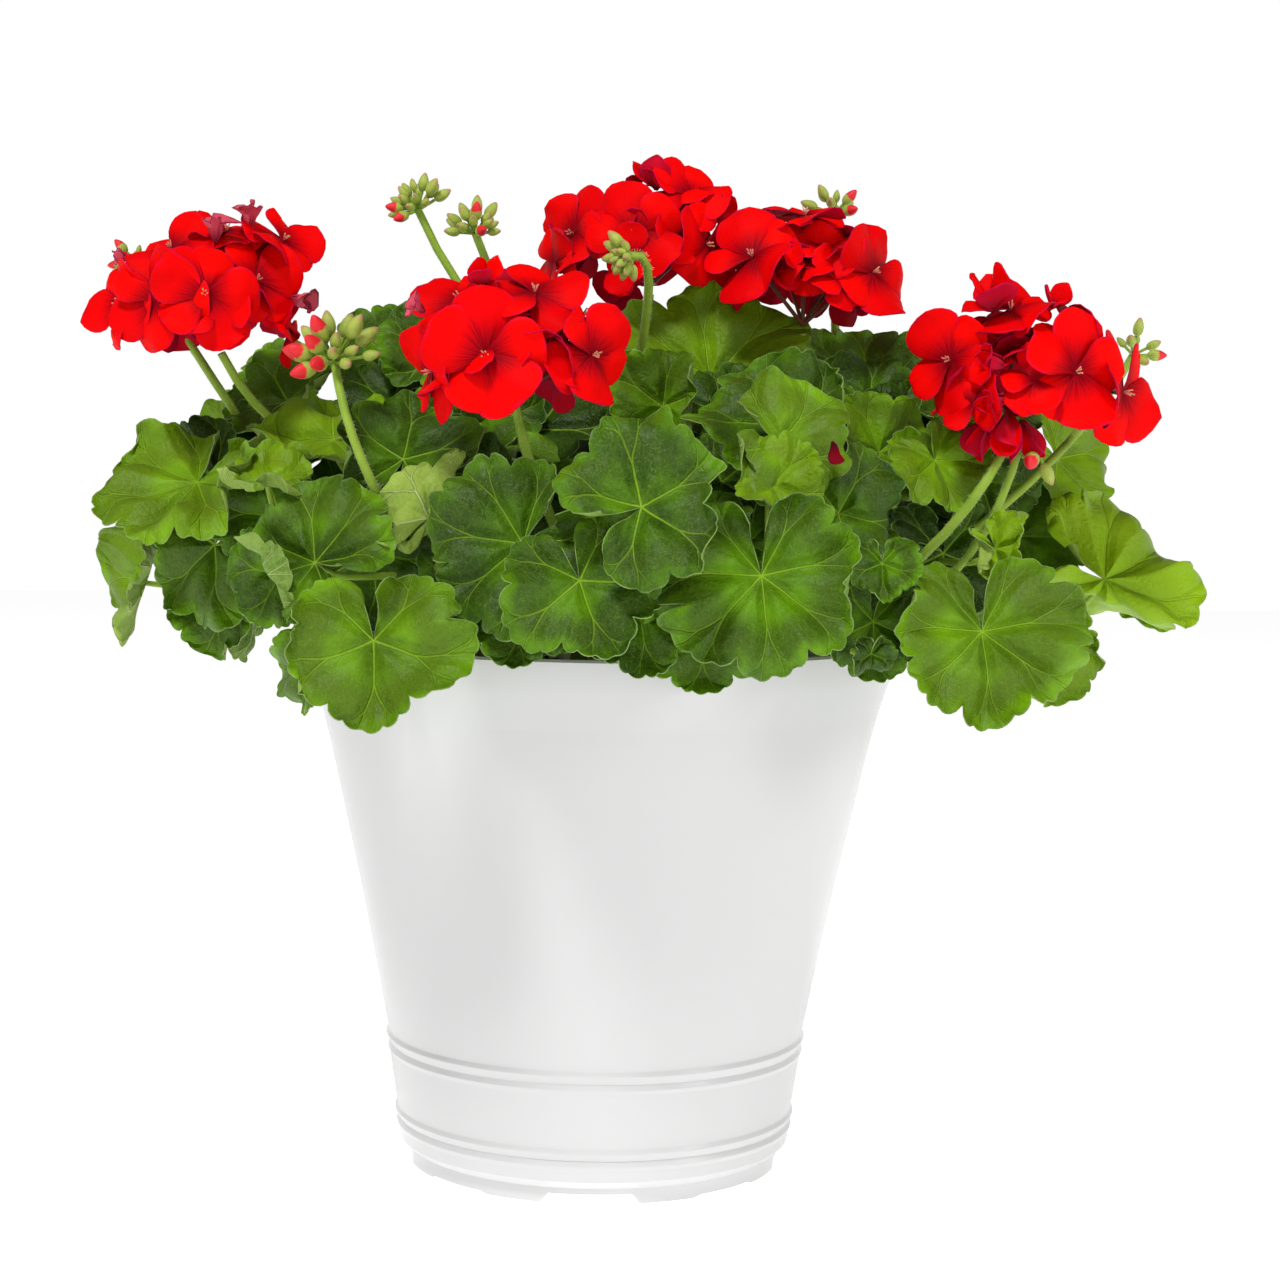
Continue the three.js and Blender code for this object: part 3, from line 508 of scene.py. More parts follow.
# Main stems: foot on the soil [x, y], shoot tip [x, y, z]
stems = {
    "front_left": {"foot": (-42, -34), "tip": (-78, -62, 262)},
    "back_left": {"foot": (-46, 22), "tip": (-98, 24, 282)},
    "front": {"foot": (-6, -46), "tip": (-14, -70, 262)},
    "middle": {"foot": (0, 8), "tip": (8, 4, 300)},
    "front_right": {"foot": (42, -36), "tip": (76, -62, 252)},
    "back_right": {"foot": (48, 20), "tip": (104, 14, 275)},
    "back": {"foot": (-4, 52), "tip": (-6, 92, 282)},
}

# Leaves that the front shows, by stem: place of the leaf stalk's end, radius, facing (degrees from the
# front towards the right, degrees up), turn of the middle lobe from straight down, fold of the left and
# right half towards the face, bend of the middle lobe
leaves = [
    ("front_left", [
        ((-83, -145, 232), 35, (-8, 18), 4, 0.1, 0.1, 0.25),
        ((-109, -112, 259), 37, (-22, 30), -112, 0.05, 0.25, 0.3),
        ((-66, -108, 277), 30, (240, 20), -150, 0.5, 0.3, 0.2),
        ((-111, -116, 220), 20, (-55, 5), -12, 0.2, 0.2, 0.3),
        ((-126, -88, 253), 23, (-30, 10), -30, 0.1, 0.1, 0.3),
    ]),
    ("back_left", [
        ((-165, -48, 288), 43, (-22, 58), -12, 0.05, 0.05, 0.35),
        ((-160, -34, 262), 35, (-32, 16), -48, 0.1, 0.1, 0.3),
        ((-196, 8, 244), 31, (-58, 12), -24, 0.2, 0.5, 0.3),
        ((-157, -24, 240), 27, (-32, 8), -12, 0.1, 0.3, 0.3),
        ((-190, 38, 275), 25, (-58, 25), -60, 0.1, 0.1, 0.3),
        ((-178, 64, 305), 26, (-60, 48), -80, 0.1, 0.1, 0.3),
        ((-112, -26, 306), 36, (-10, 55), -98, 0.3, 0.2, 0.5),
        ((-137, 16, 322), 30, (-20, 46), -75, 0.15, 0.15, 0.3),
        ((-138, 40, 330), 25, (-30, 35), 170, 0.2, 0.2, 0.3),
        ((-131, -84, 288), 23, (-10, 68), -85, 0.3, 0.3, 0.5),
    ]),
    ("front", [
        ((-79, -74, 299), 31, (-8, 22), 172, 0.1, 0.1, 0.2),
        ((-28, -142, 269), 38, (-14, 16), -48, 0.05, 0.08, 0.2),
        ((-6, -168, 257), 31, (0, 14), 20, 0.08, 0.08, 0.2),
        ((16, -168, 284), 34, (4, 24), 122, 0.05, 0.1, 0.2),
        ((-28, -134, 246), 25, (-8, 12), -6, 0.1, 0.1, 0.2),
        ((16, -144, 244), 24, (4, 8), 10, 0.1, 0.1, 0.2),
    ]),
    ("front_right", [
        ((61, -150, 259), 40, (5, 12), 6, 0.06, 0.06, 0.15),
        ((148, -112, 237), 39, (12, 18), 3, 0.08, 0.08, 0.2),
        ((180, -72, 231), 27, (40, 15), 8, 0.2, 0.2, 0.3),
        ((40, -134, 238), 26, (6, 6), 0, 0.1, 0.1, 0.2),
        ((106, -112, 240), 24, (20, 8), 0, 0.1, 0.1, 0.2),
        ((93, -94, 281), 29, (16, 25), 78, 0.1, 0.1, 0.3),
        ((108, -122, 263), 15, (10, 20), 0, 0.2, 0.2, 0.3),
        ((69, -110, 308), 29, (22, 32), 68, 0.3, 0.1, 0.3),
        ((104, -130, 229), 10, (30, 5), 0, 0.2, 0.2, 0.3),
    ]),
    ("middle", [
        ((-93, 30, 343), 27, (-10, 20), 178, 0.3, 0.3, 0.3),
        ((-72, 12, 342), 28, (0, 35), 176, 0.25, 0.25, 0.3),
        ((-52, -30, 318), 28, (-4, 35), 150, 0.15, 0.15, 0.3),
        ((44, -12, 334), 46, (6, 28), -176, 0.1, 0.1, 0.2),
        ((24, -44, 322), 26, (0, 15), 172, 0.4, 0.4, 0.2),
    ]),
    ("back_right", [
        ((72, -84, 315), 35, (4, 35), -160, 0.05, 0.08, 0.25),
        ((112, -52, 305), 26, (10, 20), 130, 0.1, 0.1, 0.3),
        ((112, 18, 335), 30, (10, 35), 175, 0.2, 0.2, 0.3),
        ((158, -26, 316), 30, (10, 45), -120, 0.15, 0.15, 0.3),
        ((134, -60, 302), 24, (12, 30), 20, 0.15, 0.15, 0.3),
        ((196, 24, 303), 29, (30, 35), 30, 0.3, 0.2, 0.3),
        ((208, -34, 254), 44, (30, 52), 58, -0.1, 0.35, 0.2),
        ((178, 4, 270), 32, (24, 20), 20, 0.1, 0.1, 0.3),
        ((156, -84, 268), 18, (8, 25), 30, 0.4, 0.4, 0.5),
    ]),
    ("front", [
        ((30, -98, 276), 28, (10, 70), 14, 0.12, 0.12, 0.3),
    ]),
    ("back_right", [
        ((124, -26, 276), 28, (30, 68), -10, 0.12, 0.12, 0.3),
    ]),
]

# Tiers of leaves that fill the back and the crown
hiddenTiers = [
    {"z": 238, "out": 160, "radius": 34, "tilt": 14, "count": 6, "from": 110, "to": 250},
    {"z": 280, "out": 146, "radius": 34, "tilt": 34, "count": 5, "from": 116, "to": 244},
    {"z": 304, "out": 106, "radius": 34, "tilt": 54, "count": 4, "from": 110, "to": 252},
    {"z": 330, "out": 58, "radius": 33, "tilt": 72, "count": 3, "from": 116, "to": 228},
    {"z": 292, "out": 56, "radius": 34, "tilt": 76, "count": 3, "from": -64, "to": 60},
]
firstHiddenSeed = 44


def stemFor(around, out):
    if out < 70:
        return "front" if abs(around) < 90 else "middle"
    if around < 140:
        return "back_right"
    return "back_left" if around > 220 else "back"


def hiddenLeaves():
    found = []
    seed = firstHiddenSeed
    for tier in hiddenTiers:
        step = (tier["to"] - tier["from"]) / (tier["count"] - 1)
        for i in range(tier["count"]):
            around = tier["from"] + step * (i + 0.3 * drawAbout(seed, "direction"))
            out = tier["out"] + 14 * drawAbout(seed, "distance")
            z = tier["z"] + 12 * drawAbout(seed, "height")
            at = (out * math.sin(rad(around)), -out * math.cos(rad(around)), z)
            radius = tier["radius"] * (1 + 0.24 * drawAbout(seed, "size"))
            facing = (around + 20 * drawAbout(seed, "facing"), tier["tilt"])
            turn = 50 * drawAbout(seed, "turn")
            leaf = (at, radius, facing, turn, 0.12, 0.12, 0.3)
            found.append((stemFor(around, tier["out"]), leaf, seed))
            seed += 1
    return found


# The rows of a table of leaves, each with its stem and its number
def numbered(groups, seed):
    for stem, rows in groups:
        for leaf in rows:
            yield stem, leaf, seed
            seed += 1


# Axes of a blade: x along its middle lobe, z along its facing. With no turn the middle lobe points down
def bladeFrame(at, facing, turn):
    around, up = (rad(angle) for angle in facing)
    front = Vector((math.sin(around), -math.cos(around), 0))
    normal = front * math.cos(up) + Vector((0, 0, math.sin(up)))
    tip = front * math.sin(up) - Vector((0, 0, math.cos(up)))
    tip.rotate(Matrix.Rotation(rad(turn), 3, normal))
    axes = Matrix((tip, normal.cross(tip), normal)).transposed().to_4x4()
    return Matrix.Translation(at) @ axes


def marginShare(angle):
    back = (1 - math.cos(angle)) / 2
    return 1 + 0.06 * math.sin(angle) ** 2 - 0.2 * back ** 3


def waveShare(share, angle, seed):
    phase = draw(seed, "wave") * 2 * math.pi
    dish = 0.1 + 0.06 * draw(seed, "dish")
    wave = 0.055 * math.sin(3 * angle + phase) + 0.03 * math.sin(7 * angle + 2 * phase)
    return share ** 2 * dish + share ** 3 * wave


# Leaves of the inside, which gaps between the others show, and a few of the back, in the scene alone. Their
# tone is darkened with painted shade, and they have fewer rings
innerLeaves = [
    ("back_left", [
        ((-164, -6, 292), 27, (-24, 30), -40, 0.15, 0.15, 0.3),
        ((-132, -46, 275), 29, (-20, 22), -20, 0.12, 0.12, 0.3),
    ]),
    ("front_left", [
        ((-92, -66, 262), 34, (-12, 14), 10, 0.1, 0.1, 0.3),
        ((-66, -64, 292), 30, (-10, 30), 30, 0.1, 0.1, 0.3),
    ]),
    ("front", [
        ((-40, -70, 262), 34, (-4, 10), 0, 0.1, 0.1, 0.3),
        ((2, -72, 280), 36, (0, 18), 20, 0.1, 0.1, 0.3),
    ]),
    ("front_right", [
        ((58, -86, 268), 31, (6, 16), 0, 0.1, 0.1, 0.3),
        ((92, -72, 256), 32, (14, 14), 10, 0.1, 0.1, 0.3),
    ]),
    ("middle", [
        ((-28, -32, 312), 34, (-6, 40), 150, 0.1, 0.1, 0.3),
        ((74, -20, 318), 32, (6, 40), 170, 0.1, 0.1, 0.3),
    ]),
    ("back_right", [
        ((111, -14, 326), 25, (8, 34), 170, 0.12, 0.12, 0.3),
        ((130, -16, 312), 27, (12, 30), 160, 0.12, 0.12, 0.3),
        ((158, -14, 294), 27, (20, 26), 10, 0.12, 0.12, 0.3),
        ((140, -44, 264), 30, (18, 16), 0, 0.12, 0.12, 0.3),
    ]),
    ("back_left", [
        ((-120, 10, 300), 31, (-20, 44), 170, 0.12, 0.12, 0.3),
        ((-144, 8, 305), 24, (-20, 40), 170, 0.12, 0.12, 0.3),
    ]),
    ("middle", [
        ((-92, 14, 322), 24, (-6, 40), 170, 0.12, 0.12, 0.3),
    ]),
    ("front_right", [
        ((48, -60, 292), 25, (4, 24), 60, 0.12, 0.12, 0.3),
    ]),
    ("middle", [
        ((46, -28, 320), 24, (4, 40), 170, 0.12, 0.12, 0.3),
    ]),
    ("front_right", [
        ((66, -122, 292), 21, (14, 34), 70, 0.35, 0.2, 0.4),
    ]),
    ("back", [
        ((-52, 104, 258), 31, (206, 20), 0, 0.12, 0.12, 0.3),
        ((6, 116, 262), 31, (178, 22), 10, 0.12, 0.12, 0.3),
        ((58, 100, 256), 31, (152, 20), -10, 0.12, 0.12, 0.3),
    ]),
    ("back_left", [
        ((-106, 66, 262), 30, (238, 20), 0, 0.12, 0.12, 0.3),
    ]),
    ("back_right", [
        ((106, 66, 262), 30, (122, 20), 0, 0.12, 0.12, 0.3),
    ]),
]
firstInnerSeed = 80

# Finer form of a blade than the solid has. The shares are of the leaf's radius
blade = {
    "rings": 12,
    "ringSpacing": 1.25,
    "stepsPerTooth": 5,
    "toothDegrees": 12.5,
    "toothDepth": 0.055,
    "toothWidth": 0.7,
    "toothUnevenness": 0.7,
    "toothShift": 0.5,
    "valley": 0.85,
    "valleyUnevenness": 0.06,
    "cleftValley": 0.62,
    "lobeWidth": 0.55,
    "unevenness": 0.07,
    "pleat": 0.068,
    "ruffle": 0.24,
    "fineRuffle": 0.07,
    "marginCurl": 1.5,
    "curlFrom": 0.66,
    "thickness": 0.42,
}
# Leaves that are new and thin, or get painted light as a backlit glow, are above 0, by their place in the
# table;
# leaves with painted shade are below 0
leafToneAndLight = {
    0: 0.14, 1: 0.02, 2: 0.6, 3: 0.05, 5: 0.28, 6: 0.05, 7: 0.3, 8: 0, 11: 0.45, 12: 0.05, 14: 0.4,
    15: -0.35, 16: -0.5, 18: -0.25, 19: -0.3, 21: 0.02, 22: 0.15, 23: 0.3, 25: -0.5, 26: -0.3, 28: 0.2,
    29: -0.6, 30: -0.1, 31: -0.1, 32: -0.1, 33: 0.3, 34: 0.1, 35: -0.15, 36: 0.2, 39: 0.3, 40: 0.35,
    41: 0.7, 43: 0.6, 44: -0.5, 45: -0.5, 99: 0.4,
}
# The other leaves draw their tone, from the lowest on. Leaves of the inside are darker by the inner painted
# shade, a painted shade of the bush's inside
usualTone = {"lowest": -0.45, "spread": 0.7, "innerPaintedShade": 0.4}
# Parts of a blade that fold over: which way they lie from the stalk, seen from the front (0 down, 90 right),
# how far out the fold runs, how round it is, and how far it turns towards the face (or, below 0, away)
leafFolds = {
    0: [(95, 0.72, 0.3, -0.7), (-80, 0.8, 0.2, 0.5)],
    1: [(-58, 0.42, 0.16, 2.3), (150, 0.6, 0.3, -0.7)],
    2: [(130, 0.2, 0.3, 1.1), (0, 0.4, 0.25, 1.2)],
    3: [(-60, 0.5, 0.3, -0.8)],
    5: [(-84, 0.8, 0.16, 1.7), (110, 0.4, 0.25, 0.9), (20, 0.75, 0.25, -0.8)],
    6: [(-100, 0.6, 0.3, 0.7), (60, 0.6, 0.3, -0.6)],
    7: [(40, 0.6, 0.15, 1.7)],
    11: [(178, 0.15, 0.4, -0.8), (-70, 0.55, 0.2, 1.3), (20, 0.7, 0.2, 0.9)],
    12: [(-120, 0.5, 0.3, 0.8), (60, 0.4, 0.2, 1.1), (178, 0.55, 0.25, -0.9)],
    14: [(-60, 0.4, 0.2, 1.2)],
    15: [(160, 0.35, 0.4, -0.6), (-90, 0.7, 0.2, 0.7)],
    16: [(-120, 0.6, 0.4, -0.6), (60, 0.75, 0.2, 0.6)],
    17: [(100, 0.7, 0.3, -0.6)],
    18: [(90, 0.6, 0.25, 0.9), (-90, 0.65, 0.4, -0.6), (180, 0.7, 0.3, -0.6)],
    21: [(-90, 0.75, 0.25, -0.6), (85, 0.78, 0.25, 0.5)],
    22: [(95, 0.7, 0.25, -0.8), (-95, 0.8, 0.25, 0.5)],
    23: [(120, 0.5, 0.25, 0.9)],
    26: [(80, 0.5, 0.3, -0.9), (0, 0.7, 0.2, 0.8)],
    28: [(0, 0.15, 0.3, -0.9), (180, 0.5, 0.3, -0.6), (-90, 0.7, 0.25, 0.8), (90, 0.7, 0.25, -0.7)],
    29: [(0, 0.25, 0.3, -1.3)],
    33: [(100, 0.55, 0.3, -0.7), (-60, 0.7, 0.2, 0.6)],
    34: [(90, 0.45, 0.3, 0.9)],
    35: [(100, 0.5, 0.25, 1.1), (-120, 0.6, 0.3, -0.7)],
    38: [(0, 0.6, 0.3, 0.7)],
    40: [(90, 0.5, 0.3, -0.8)],
    41: [(-35, 0.05, 0.1, -2.4), (115, 0.5, 0.25, -1.4)],
    43: [(60, 0.3, 0.2, 1.2), (-100, 0.4, 0.2, 1.1)],
}


def lobeShare(lobe, part, lobes, seed):
    uneven = noise.noise(Vector((lobe + round(part), seed * 1.7, 0.5)))
    floor = blade["valley"] + blade["valleyUnevenness"] * uneven
    if (lobe == 0 and part < 0.5) or (lobe == lobes - 1 and part > 0.5):
        floor = blade["cleftValley"]
    rise = math.sin(math.pi * min(max(part, 0.001), 0.999)) ** blade["lobeWidth"]
    return floor + (1 - floor) * rise


# Rolls what lies past a line of the blade up or down round a cylinder
def foldOver(spot, way, start, roundness, angle):
    side = math.copysign(1, angle)
    along = Vector((math.cos(way), math.sin(way), 0))
    past = spot.dot(along) - start
    if past <= 0:
        return spot
    bent = min(past / roundness, abs(angle))
    rest = past - roundness * bent
    out = roundness * math.sin(bent) + rest * math.cos(bent) - side * spot.z * math.sin(bent)
    up = side * (roundness * (1 - math.cos(bent)) + rest * math.sin(bent)) + spot.z * math.cos(bent)
    return Vector((spot.x, spot.y, 0)) + along * (out - past) + Vector((0, 0, up))


def addLeafBlade(bm, uvLayer, toneLayer, leaf, seed, rings):
    at, radius, facing, turn, foldLeft, foldRight, bend = leaf
    lobes = 7 if radius > plant["bigLeaf"] else 5
    cleft = rad(plant["sinusHalfAngle"])
    lobeAngle = (2 * math.pi - 2 * cleft) / lobes
    teeth = round(math.degrees(lobeAngle) / blade["toothDegrees"])
    columns = lobes * teeth * blade["stepsPerTooth"]
    grid = bmesh.ops.create_grid(bm, x_segments=columns, y_segments=rings, size=1)["verts"]
    tone = usualTone["spread"] * draw(seed, "tone") + usualTone["lowest"]
    # Leaves of the inside get painted shade, a darker tone
    if seed >= firstInnerSeed:
        tone -= usualTone["innerPaintedShade"]
    tone = leafToneAndLight.get(seed, tone)
    frameMatrix = bladeFrame(at, facing, turn)
    curve = bend / radius
    hub = []
    for face in {face for vert in grid for face in vert.link_faces}:
        for loop in face.loops:
            x, y, _ = loop.vert.co
            loop[uvLayer].uv = ((x + 1) / 2 * lobes, (y + 1) / 2)
    for vert in grid:
        around = (vert.co.x + 1) / 2 * lobes
        out = 1 - (1 - (vert.co.y + 1) / 2) ** blade["ringSpacing"]
        lobe = min(int(around), lobes - 1)
        part = around - lobe
        angle = cleft - math.pi + around * lobeAngle
        way = Vector((math.cos(angle), math.sin(angle), 0))
        spot = way * out
        own = 1 + blade["unevenness"] * noise.noise(spot * 1.6 + Vector((seed * 3.7, 0, 5)))
        shift = blade["toothShift"] * math.sin(math.pi * part)
        shift *= noise.noise(Vector((around * 2.3, seed * 0.9, 9)))
        tooth = abs(math.sin(math.pi * (teeth * part + shift))) ** blade["toothWidth"]
        depth = 1 + blade["toothUnevenness"] * noise.noise(Vector((around * 3.1, seed * 1.3, 2)))
        depth *= blade["toothDepth"]
        reach = out * (lobeShare(lobe, part, lobes, seed) * own - depth * (1 - tooth) * out ** 8)
        reach *= marginShare(angle) * radius
        x = reach * math.cos(angle)
        y = reach * math.sin(angle)
        fold = foldLeft if y < 0 else foldRight
        rise = waveShare(out, angle, seed) * radius + abs(y) * math.sin(fold)
        rise -= blade["pleat"] * radius * out * math.cos(2 * math.pi * (part - 0.5)) * (1 - 0.2 * out)
        rise += blade["ruffle"] * radius * out ** 1.8 * noise.noise(spot * 2.1 + Vector((0, seed * 2.3, 1)))
        rise += blade["fineRuffle"] * radius * out ** 4 * noise.noise(spot * 6 + Vector((seed, 7, 3)))
        lift = noise.noise(way * 1.6 + Vector((seed * 1.9, 3, 8)))
        rise += blade["marginCurl"] * lift * radius * max(out - blade["curlFrom"], 0) ** 2
        if out < 0.001:
            hub.append(vert)
        spot = Vector((
            math.sin(curve * x) / curve, y * math.cos(fold), rise - (1 - math.cos(curve * x)) / curve))
        for view, start, roundness, amount in leafFolds.get(seed, ()):
            spot = foldOver(spot, rad(view - turn), start * radius, roundness * radius, amount)
        vert.co = frameMatrix @ spot
        vert.co *= mm
        vert[toneLayer] = tone
    bmesh.ops.remove_doubles(bm, verts=hub, dist=0.01 * mm)


# Leaves and petals get their thickness from a modifier: the back and the rim have materials of their own
def thinPiece(name, bm, thickness, rimMaterial):
    bmesh.ops.reverse_faces(bm, faces=bm.faces)
    piece = meshPiece(name, bm)
    wall = piece.modifiers.new("thickness", "SOLIDIFY")
    wall.thickness = thickness * mm
    wall.offset = 0
    wall.material_offset = 1
    wall.material_offset_rim = rimMaterial
    shade = piece.modifiers.new("evenShading", "WEIGHTED_NORMAL")
    shade.weight = 90
    return piece


def leafPiece(name, members):
    bm = bmesh.new()
    uvLayer = bm.loops.layers.uv.new("blade")
    toneLayer = bm.verts.layers.float.new("tone")
    for leaf, seed in members:
        rings = blade["rings"] if seed < firstInnerSeed else blade["rings"] // 2
        addLeafBlade(bm, uvLayer, toneLayer, leaf, seed, rings)
    return thinPiece(name, bm, blade["thickness"], 2)


# Stalks are tubes along the solids' own curves
def stemCurve(stem):
    foot = Vector((*stem["foot"], soil["level"] - plant["stemRootDepth"]))
    low = Vector((*stem["foot"], soil["level"] + 12))
    tip = Vector(stem["tip"])
    high = tip.lerp(low, 0.4)
    high.z = tip.z - 22
    return [foot, low, high, tip]


def curvePoint(curve, t):
    a, b, c, d = curve
    s = 1 - t
    return a * s ** 3 + b * (3 * s * s * t) + c * (3 * s * t * t) + d * t ** 3


def branchPoint(stem, height, seed):
    share = (height - soil["level"]) / (stem["tip"][2] - soil["level"])
    along = 0.42 + 0.3 * share + 0.24 * draw(seed, "branch")
    return curvePoint(stemCurve(stem), min(max(along, 0.5), 0.96))


def petioleCurve(stem, leaf, seed):
    at, radius, facing, turn = leaf[:4]
    axes = bladeFrame(at, facing, turn)
    end = axes @ Vector((0.02 * radius, 0, 0))
    start = branchPoint(stem, at[2], seed)
    reach = (end - start).length
    into = -(axes.to_3x3() @ Vector((0, 0, 1)))
    out = end - start
    out.z = 0.35 * reach
    out.normalize()
    return [start, start + out * 0.4 * reach, end + into * 0.35 * reach, end]


def peduncleCurve(stem, top, drop, seed):
    start = branchPoint(stem, stem["tip"][2] + 40, seed)
    end = Vector(top["at"])
    end.z -= drop
    if "stalk" in top:
        return [*(Vector(place) for place in top["stalk"]), end]
    reach = (end - start).length
    if "arch" in top:
        high = end + Vector((top["arch"][0], 0, top["arch"][1]))
    else:
        high = end.lerp(start, 0.3)
        high.z = end.z - 0.42 * reach
    low = start.lerp(end, 0.25)
    low.z = start.z + 0.25 * reach
    low.y -= top.get("forward", 0)
    high.y -= top.get("forward", 0)
    return [start, low, high, end]


# One tube piece: each member is a curve of four handles and the radii at its ends, in millimetres
def tubePiece(name, members, sides):
    curve = bpy.data.curves.new(name, "CURVE")
    curve.dimensions = "3D"
    curve.bevel_depth = mm
    curve.bevel_resolution = sides
    curve.resolution_u = 10
    curve.use_fill_caps = True
    for (first, leave, arrive, last), radii in members:
        spline = curve.splines.new("BEZIER")
        spline.bezier_points.add(1)
        for point, place, left, right, radius in (
            (spline.bezier_points[0], first, first - (leave - first), leave, radii[0]),
            (spline.bezier_points[1], last, arrive, last + (last - arrive), radii[1]),
        ):
            point.co = place * mm
            point.handle_left = left * mm
            point.handle_right = right * mm
            point.radius = radius
    holder = bpy.data.objects.new(name, curve)
    bpy.context.scene.collection.objects.link(holder)
    graph = bpy.context.evaluated_depsgraph_get()
    mesh = bpy.data.meshes.new_from_object(holder.evaluated_get(graph))
    bpy.data.objects.remove(holder)
    piece = bpy.data.objects.new(name, mesh)
    bpy.context.scene.collection.objects.link(piece)
    return piece


# Flower heads: stem, where the pedicels part, florets as offset from there, radius and facing, and extra
# florets of other forms
heads = {
    "left": {
        "stem": "back_left",
        "at": (-160, -20, 345),
        "florets": [
            ((-2, -28, 19), 22, (2, 12)), ((-39, -9, 16), 20, (-50, 8)), ((16, -14, 26), 20, (38, 18)),
            ((25, 0, 43), 18, (54, 42)), ((24, 10, 18), 16, (96, 4)), ((-19, -8, 38), 19, (-36, 48)),
            ((2, 0, 46), 18, (10, 78)), ((-10, 20, 26), 21, (178, 24)),
        ],
        "extras": [
            ("spent", (0, -16, 41), 12, (10, 70)), ("spent", (12, -6, 46), 13, (20, 72)),
            ("spent", (30, -8, 20), 11, (60, -20)), ("spent", (-38, -4, 34), 7, (-60, 20)),
            ("open", (-23, -23, 17), 22, (-18, 4)), ("open", (12, 2, 42), 15, (20, 50)),
        ],
    },
    "middle": {
        "stem": "front",
        "at": (-33, -110, 325),
        "florets": [
            ((-10, -23, 14), 24, (-6, 4)), ((-31, -6, 8), 19, (-64, -2)), ((-21, -2, 35), 20, (-46, 50)),
            ((7, -6, 38), 21, (10, 54)), ((29, -12, 15), 20, (44, 6)), ((24, 6, 30), 18, (84, 38)),
            ((0, 18, 28), 21, (180, 36)),
        ],
        "extras": [("spent", (-34, -14, 30), 8, (-50, 30)), ("pointed", (-12, -12, 40), 12, (-10, 60))],
    },
    "top": {
        "stem": "middle",
        "at": (18, 12, 374),
        "florets": [
            ((-6, -22, 20), 22, (-10, 10)), ((-32, -6, 21), 20, (-54, 12)), ((13, 2, 42), 20, (20, 72)),
            ((23, -14, 17), 20, (42, 2)), ((30, 6, 30), 16, (84, 30)), ((-17, 6, 34), 17, (-70, 54)),
            ((-2, 20, 20), 22, (180, 24)),
        ],
        "extras": [
            ("open", (16, -8, 38), 18, (8, 34)), ("open", (-40, -8, 9), 16, (-58, 0)),
            ("pointed", (2, -4, 40), 15, (-10, 70)), ("pointed", (27, -4, 31), 11, (60, 30)),
        ],
    },
    "right": {
        "stem": "back_right",
        "lowest": 36,
        "at": (83, 0, 358),
        "florets": [
            ((-22, -15, 27), 22, (-28, 36)), ((0, -2, 45), 19, (0, 74)), ((28, -8, 22), 21, (42, 14)),
            ((22, 12, 33), 17, (84, 42)), ((-8, 18, 29), 21, (186, 36)), ((16, 20, 18), 19, (146, 14)),
        ],
        "extras": [("open", (8, -8, 33), 17, (10, 44)), ("open", (2, -10, 26), 17, (4, 30))],
    },
    "far_right": {
        "stem": "back_right",
        "stalk": [(80, 15, 236), (112, -50, 232), (150, -104, 286)],
        "second": [(101, 6, 240), (131, -50, 228), (157, -78, 268), (167, -72, 312)],
        "at": (165, -60, 319),
        "florets": [
            ((-27, -12, 23), 21, (-36, 8)), ((-3, -6, 43), 20, (-4, 66)), ((21, -20, 19), 24, (20, 6)),
            ((43, 0, 12), 24, (58, -4)), ((32, 6, 35), 18, (78, 44)), ((-12, 18, 24), 21, (186, 22)),
        ],
        "extras": [
            ("rolled", (-6, -20, 21), 15, (-58, 12)), ("rolled", (-5, -22, 8), 15, (-64, -8)),
            ("closed", (-4, -16, 4), 21, (-4, -62)), ("closed", (2, -12, 0), 16, (50, -66)),
            ("closed", (-10, -12, 2), 18, (-60, -60)), ("pointed", (13, -2, 44), 12, (14, 44)),
            ("pointed", (-10, -8, 42), 20, (-10, 70)),
        ],
    },
}

# Bud clusters: ripe is the share of buds that show red
budClusters = [
    {"stem": "front_left", "at": (-106, -80, 337), "lean": (-20, 62), "length": 9.3, "ripe": 0.3,
     "forward": 34},
    {"stem": "middle", "at": (-82, 20, 405), "lean": (-70, 60), "length": 7, "ripe": 0.1},
    {"stem": "middle", "at": (-56, 0, 394), "lean": (-10, 75), "length": 7, "ripe": 0.1},
    {"stem": "middle", "at": (10, -60, 382), "lean": (-90, -20), "length": 7, "arch": (18, 6), "ripe": 0,
     "spread": 0.55},
    {"stem": "back_right", "at": (98, 40, 408), "lean": (0, 82), "length": 7, "ripe": 0.2, "count": 9},
    {"stem": "back_right", "at": (230, 38, 349), "lean": (60, 60), "length": 7, "ripe": 0.3, "count": 7,
     "stalk": [(82, 16, 236), (124, -50, 236), (196, -70, 312)]},
    {"stem": "back_left", "at": (-198, -6, 379), "lean": (-60, 50), "length": 5, "ripe": 0.6, "count": 6,
     "stalk": [(-100, 28, 262), (-140, 36, 272), (-160, 18, 320)]},
]
# A few buds that hang from the far right head on a stalk of their own
hangingBuds = {"at": (173, -70, 308), "lean": (4, -84), "length": 8.5, "ripe": 0.5, "count": 3, "spread": 0.7}
hangingBudSeed = 20
fallenPetal = {"at": (88, -118, 309), "radius": 9, "facing": (68, 14), "turn": 20, "seed": 3}

# A petal narrows to its foot and is widest past its middle. Shares are of the floret's radius
petalForm = {
    "petals": 5,
    "rows": 10,
    "columns": 10,
    "lift": 0,
    "widest": 0.64,
    "halfWidth": 0.51,
    "widthSpread": 0.24,
    "footWidth": 0.12,
    "footLift": 0.03,
    "notch": 0.07,
    "point": 0,
    "offAxis": 6,
    "rise": 0.1,
    "lap": 0.2,
    "dome": 0.15,
    "ruffle": 0.2,
    "fineRuffle": 0.05,
    "curl": 0.16,
    "turnSpread": 20,
    "liftSpread": 26,
    "rollSpread": 30,
    "sizeSpread": 0.22,
    "material": 0,
}
petalThickness = 0.4
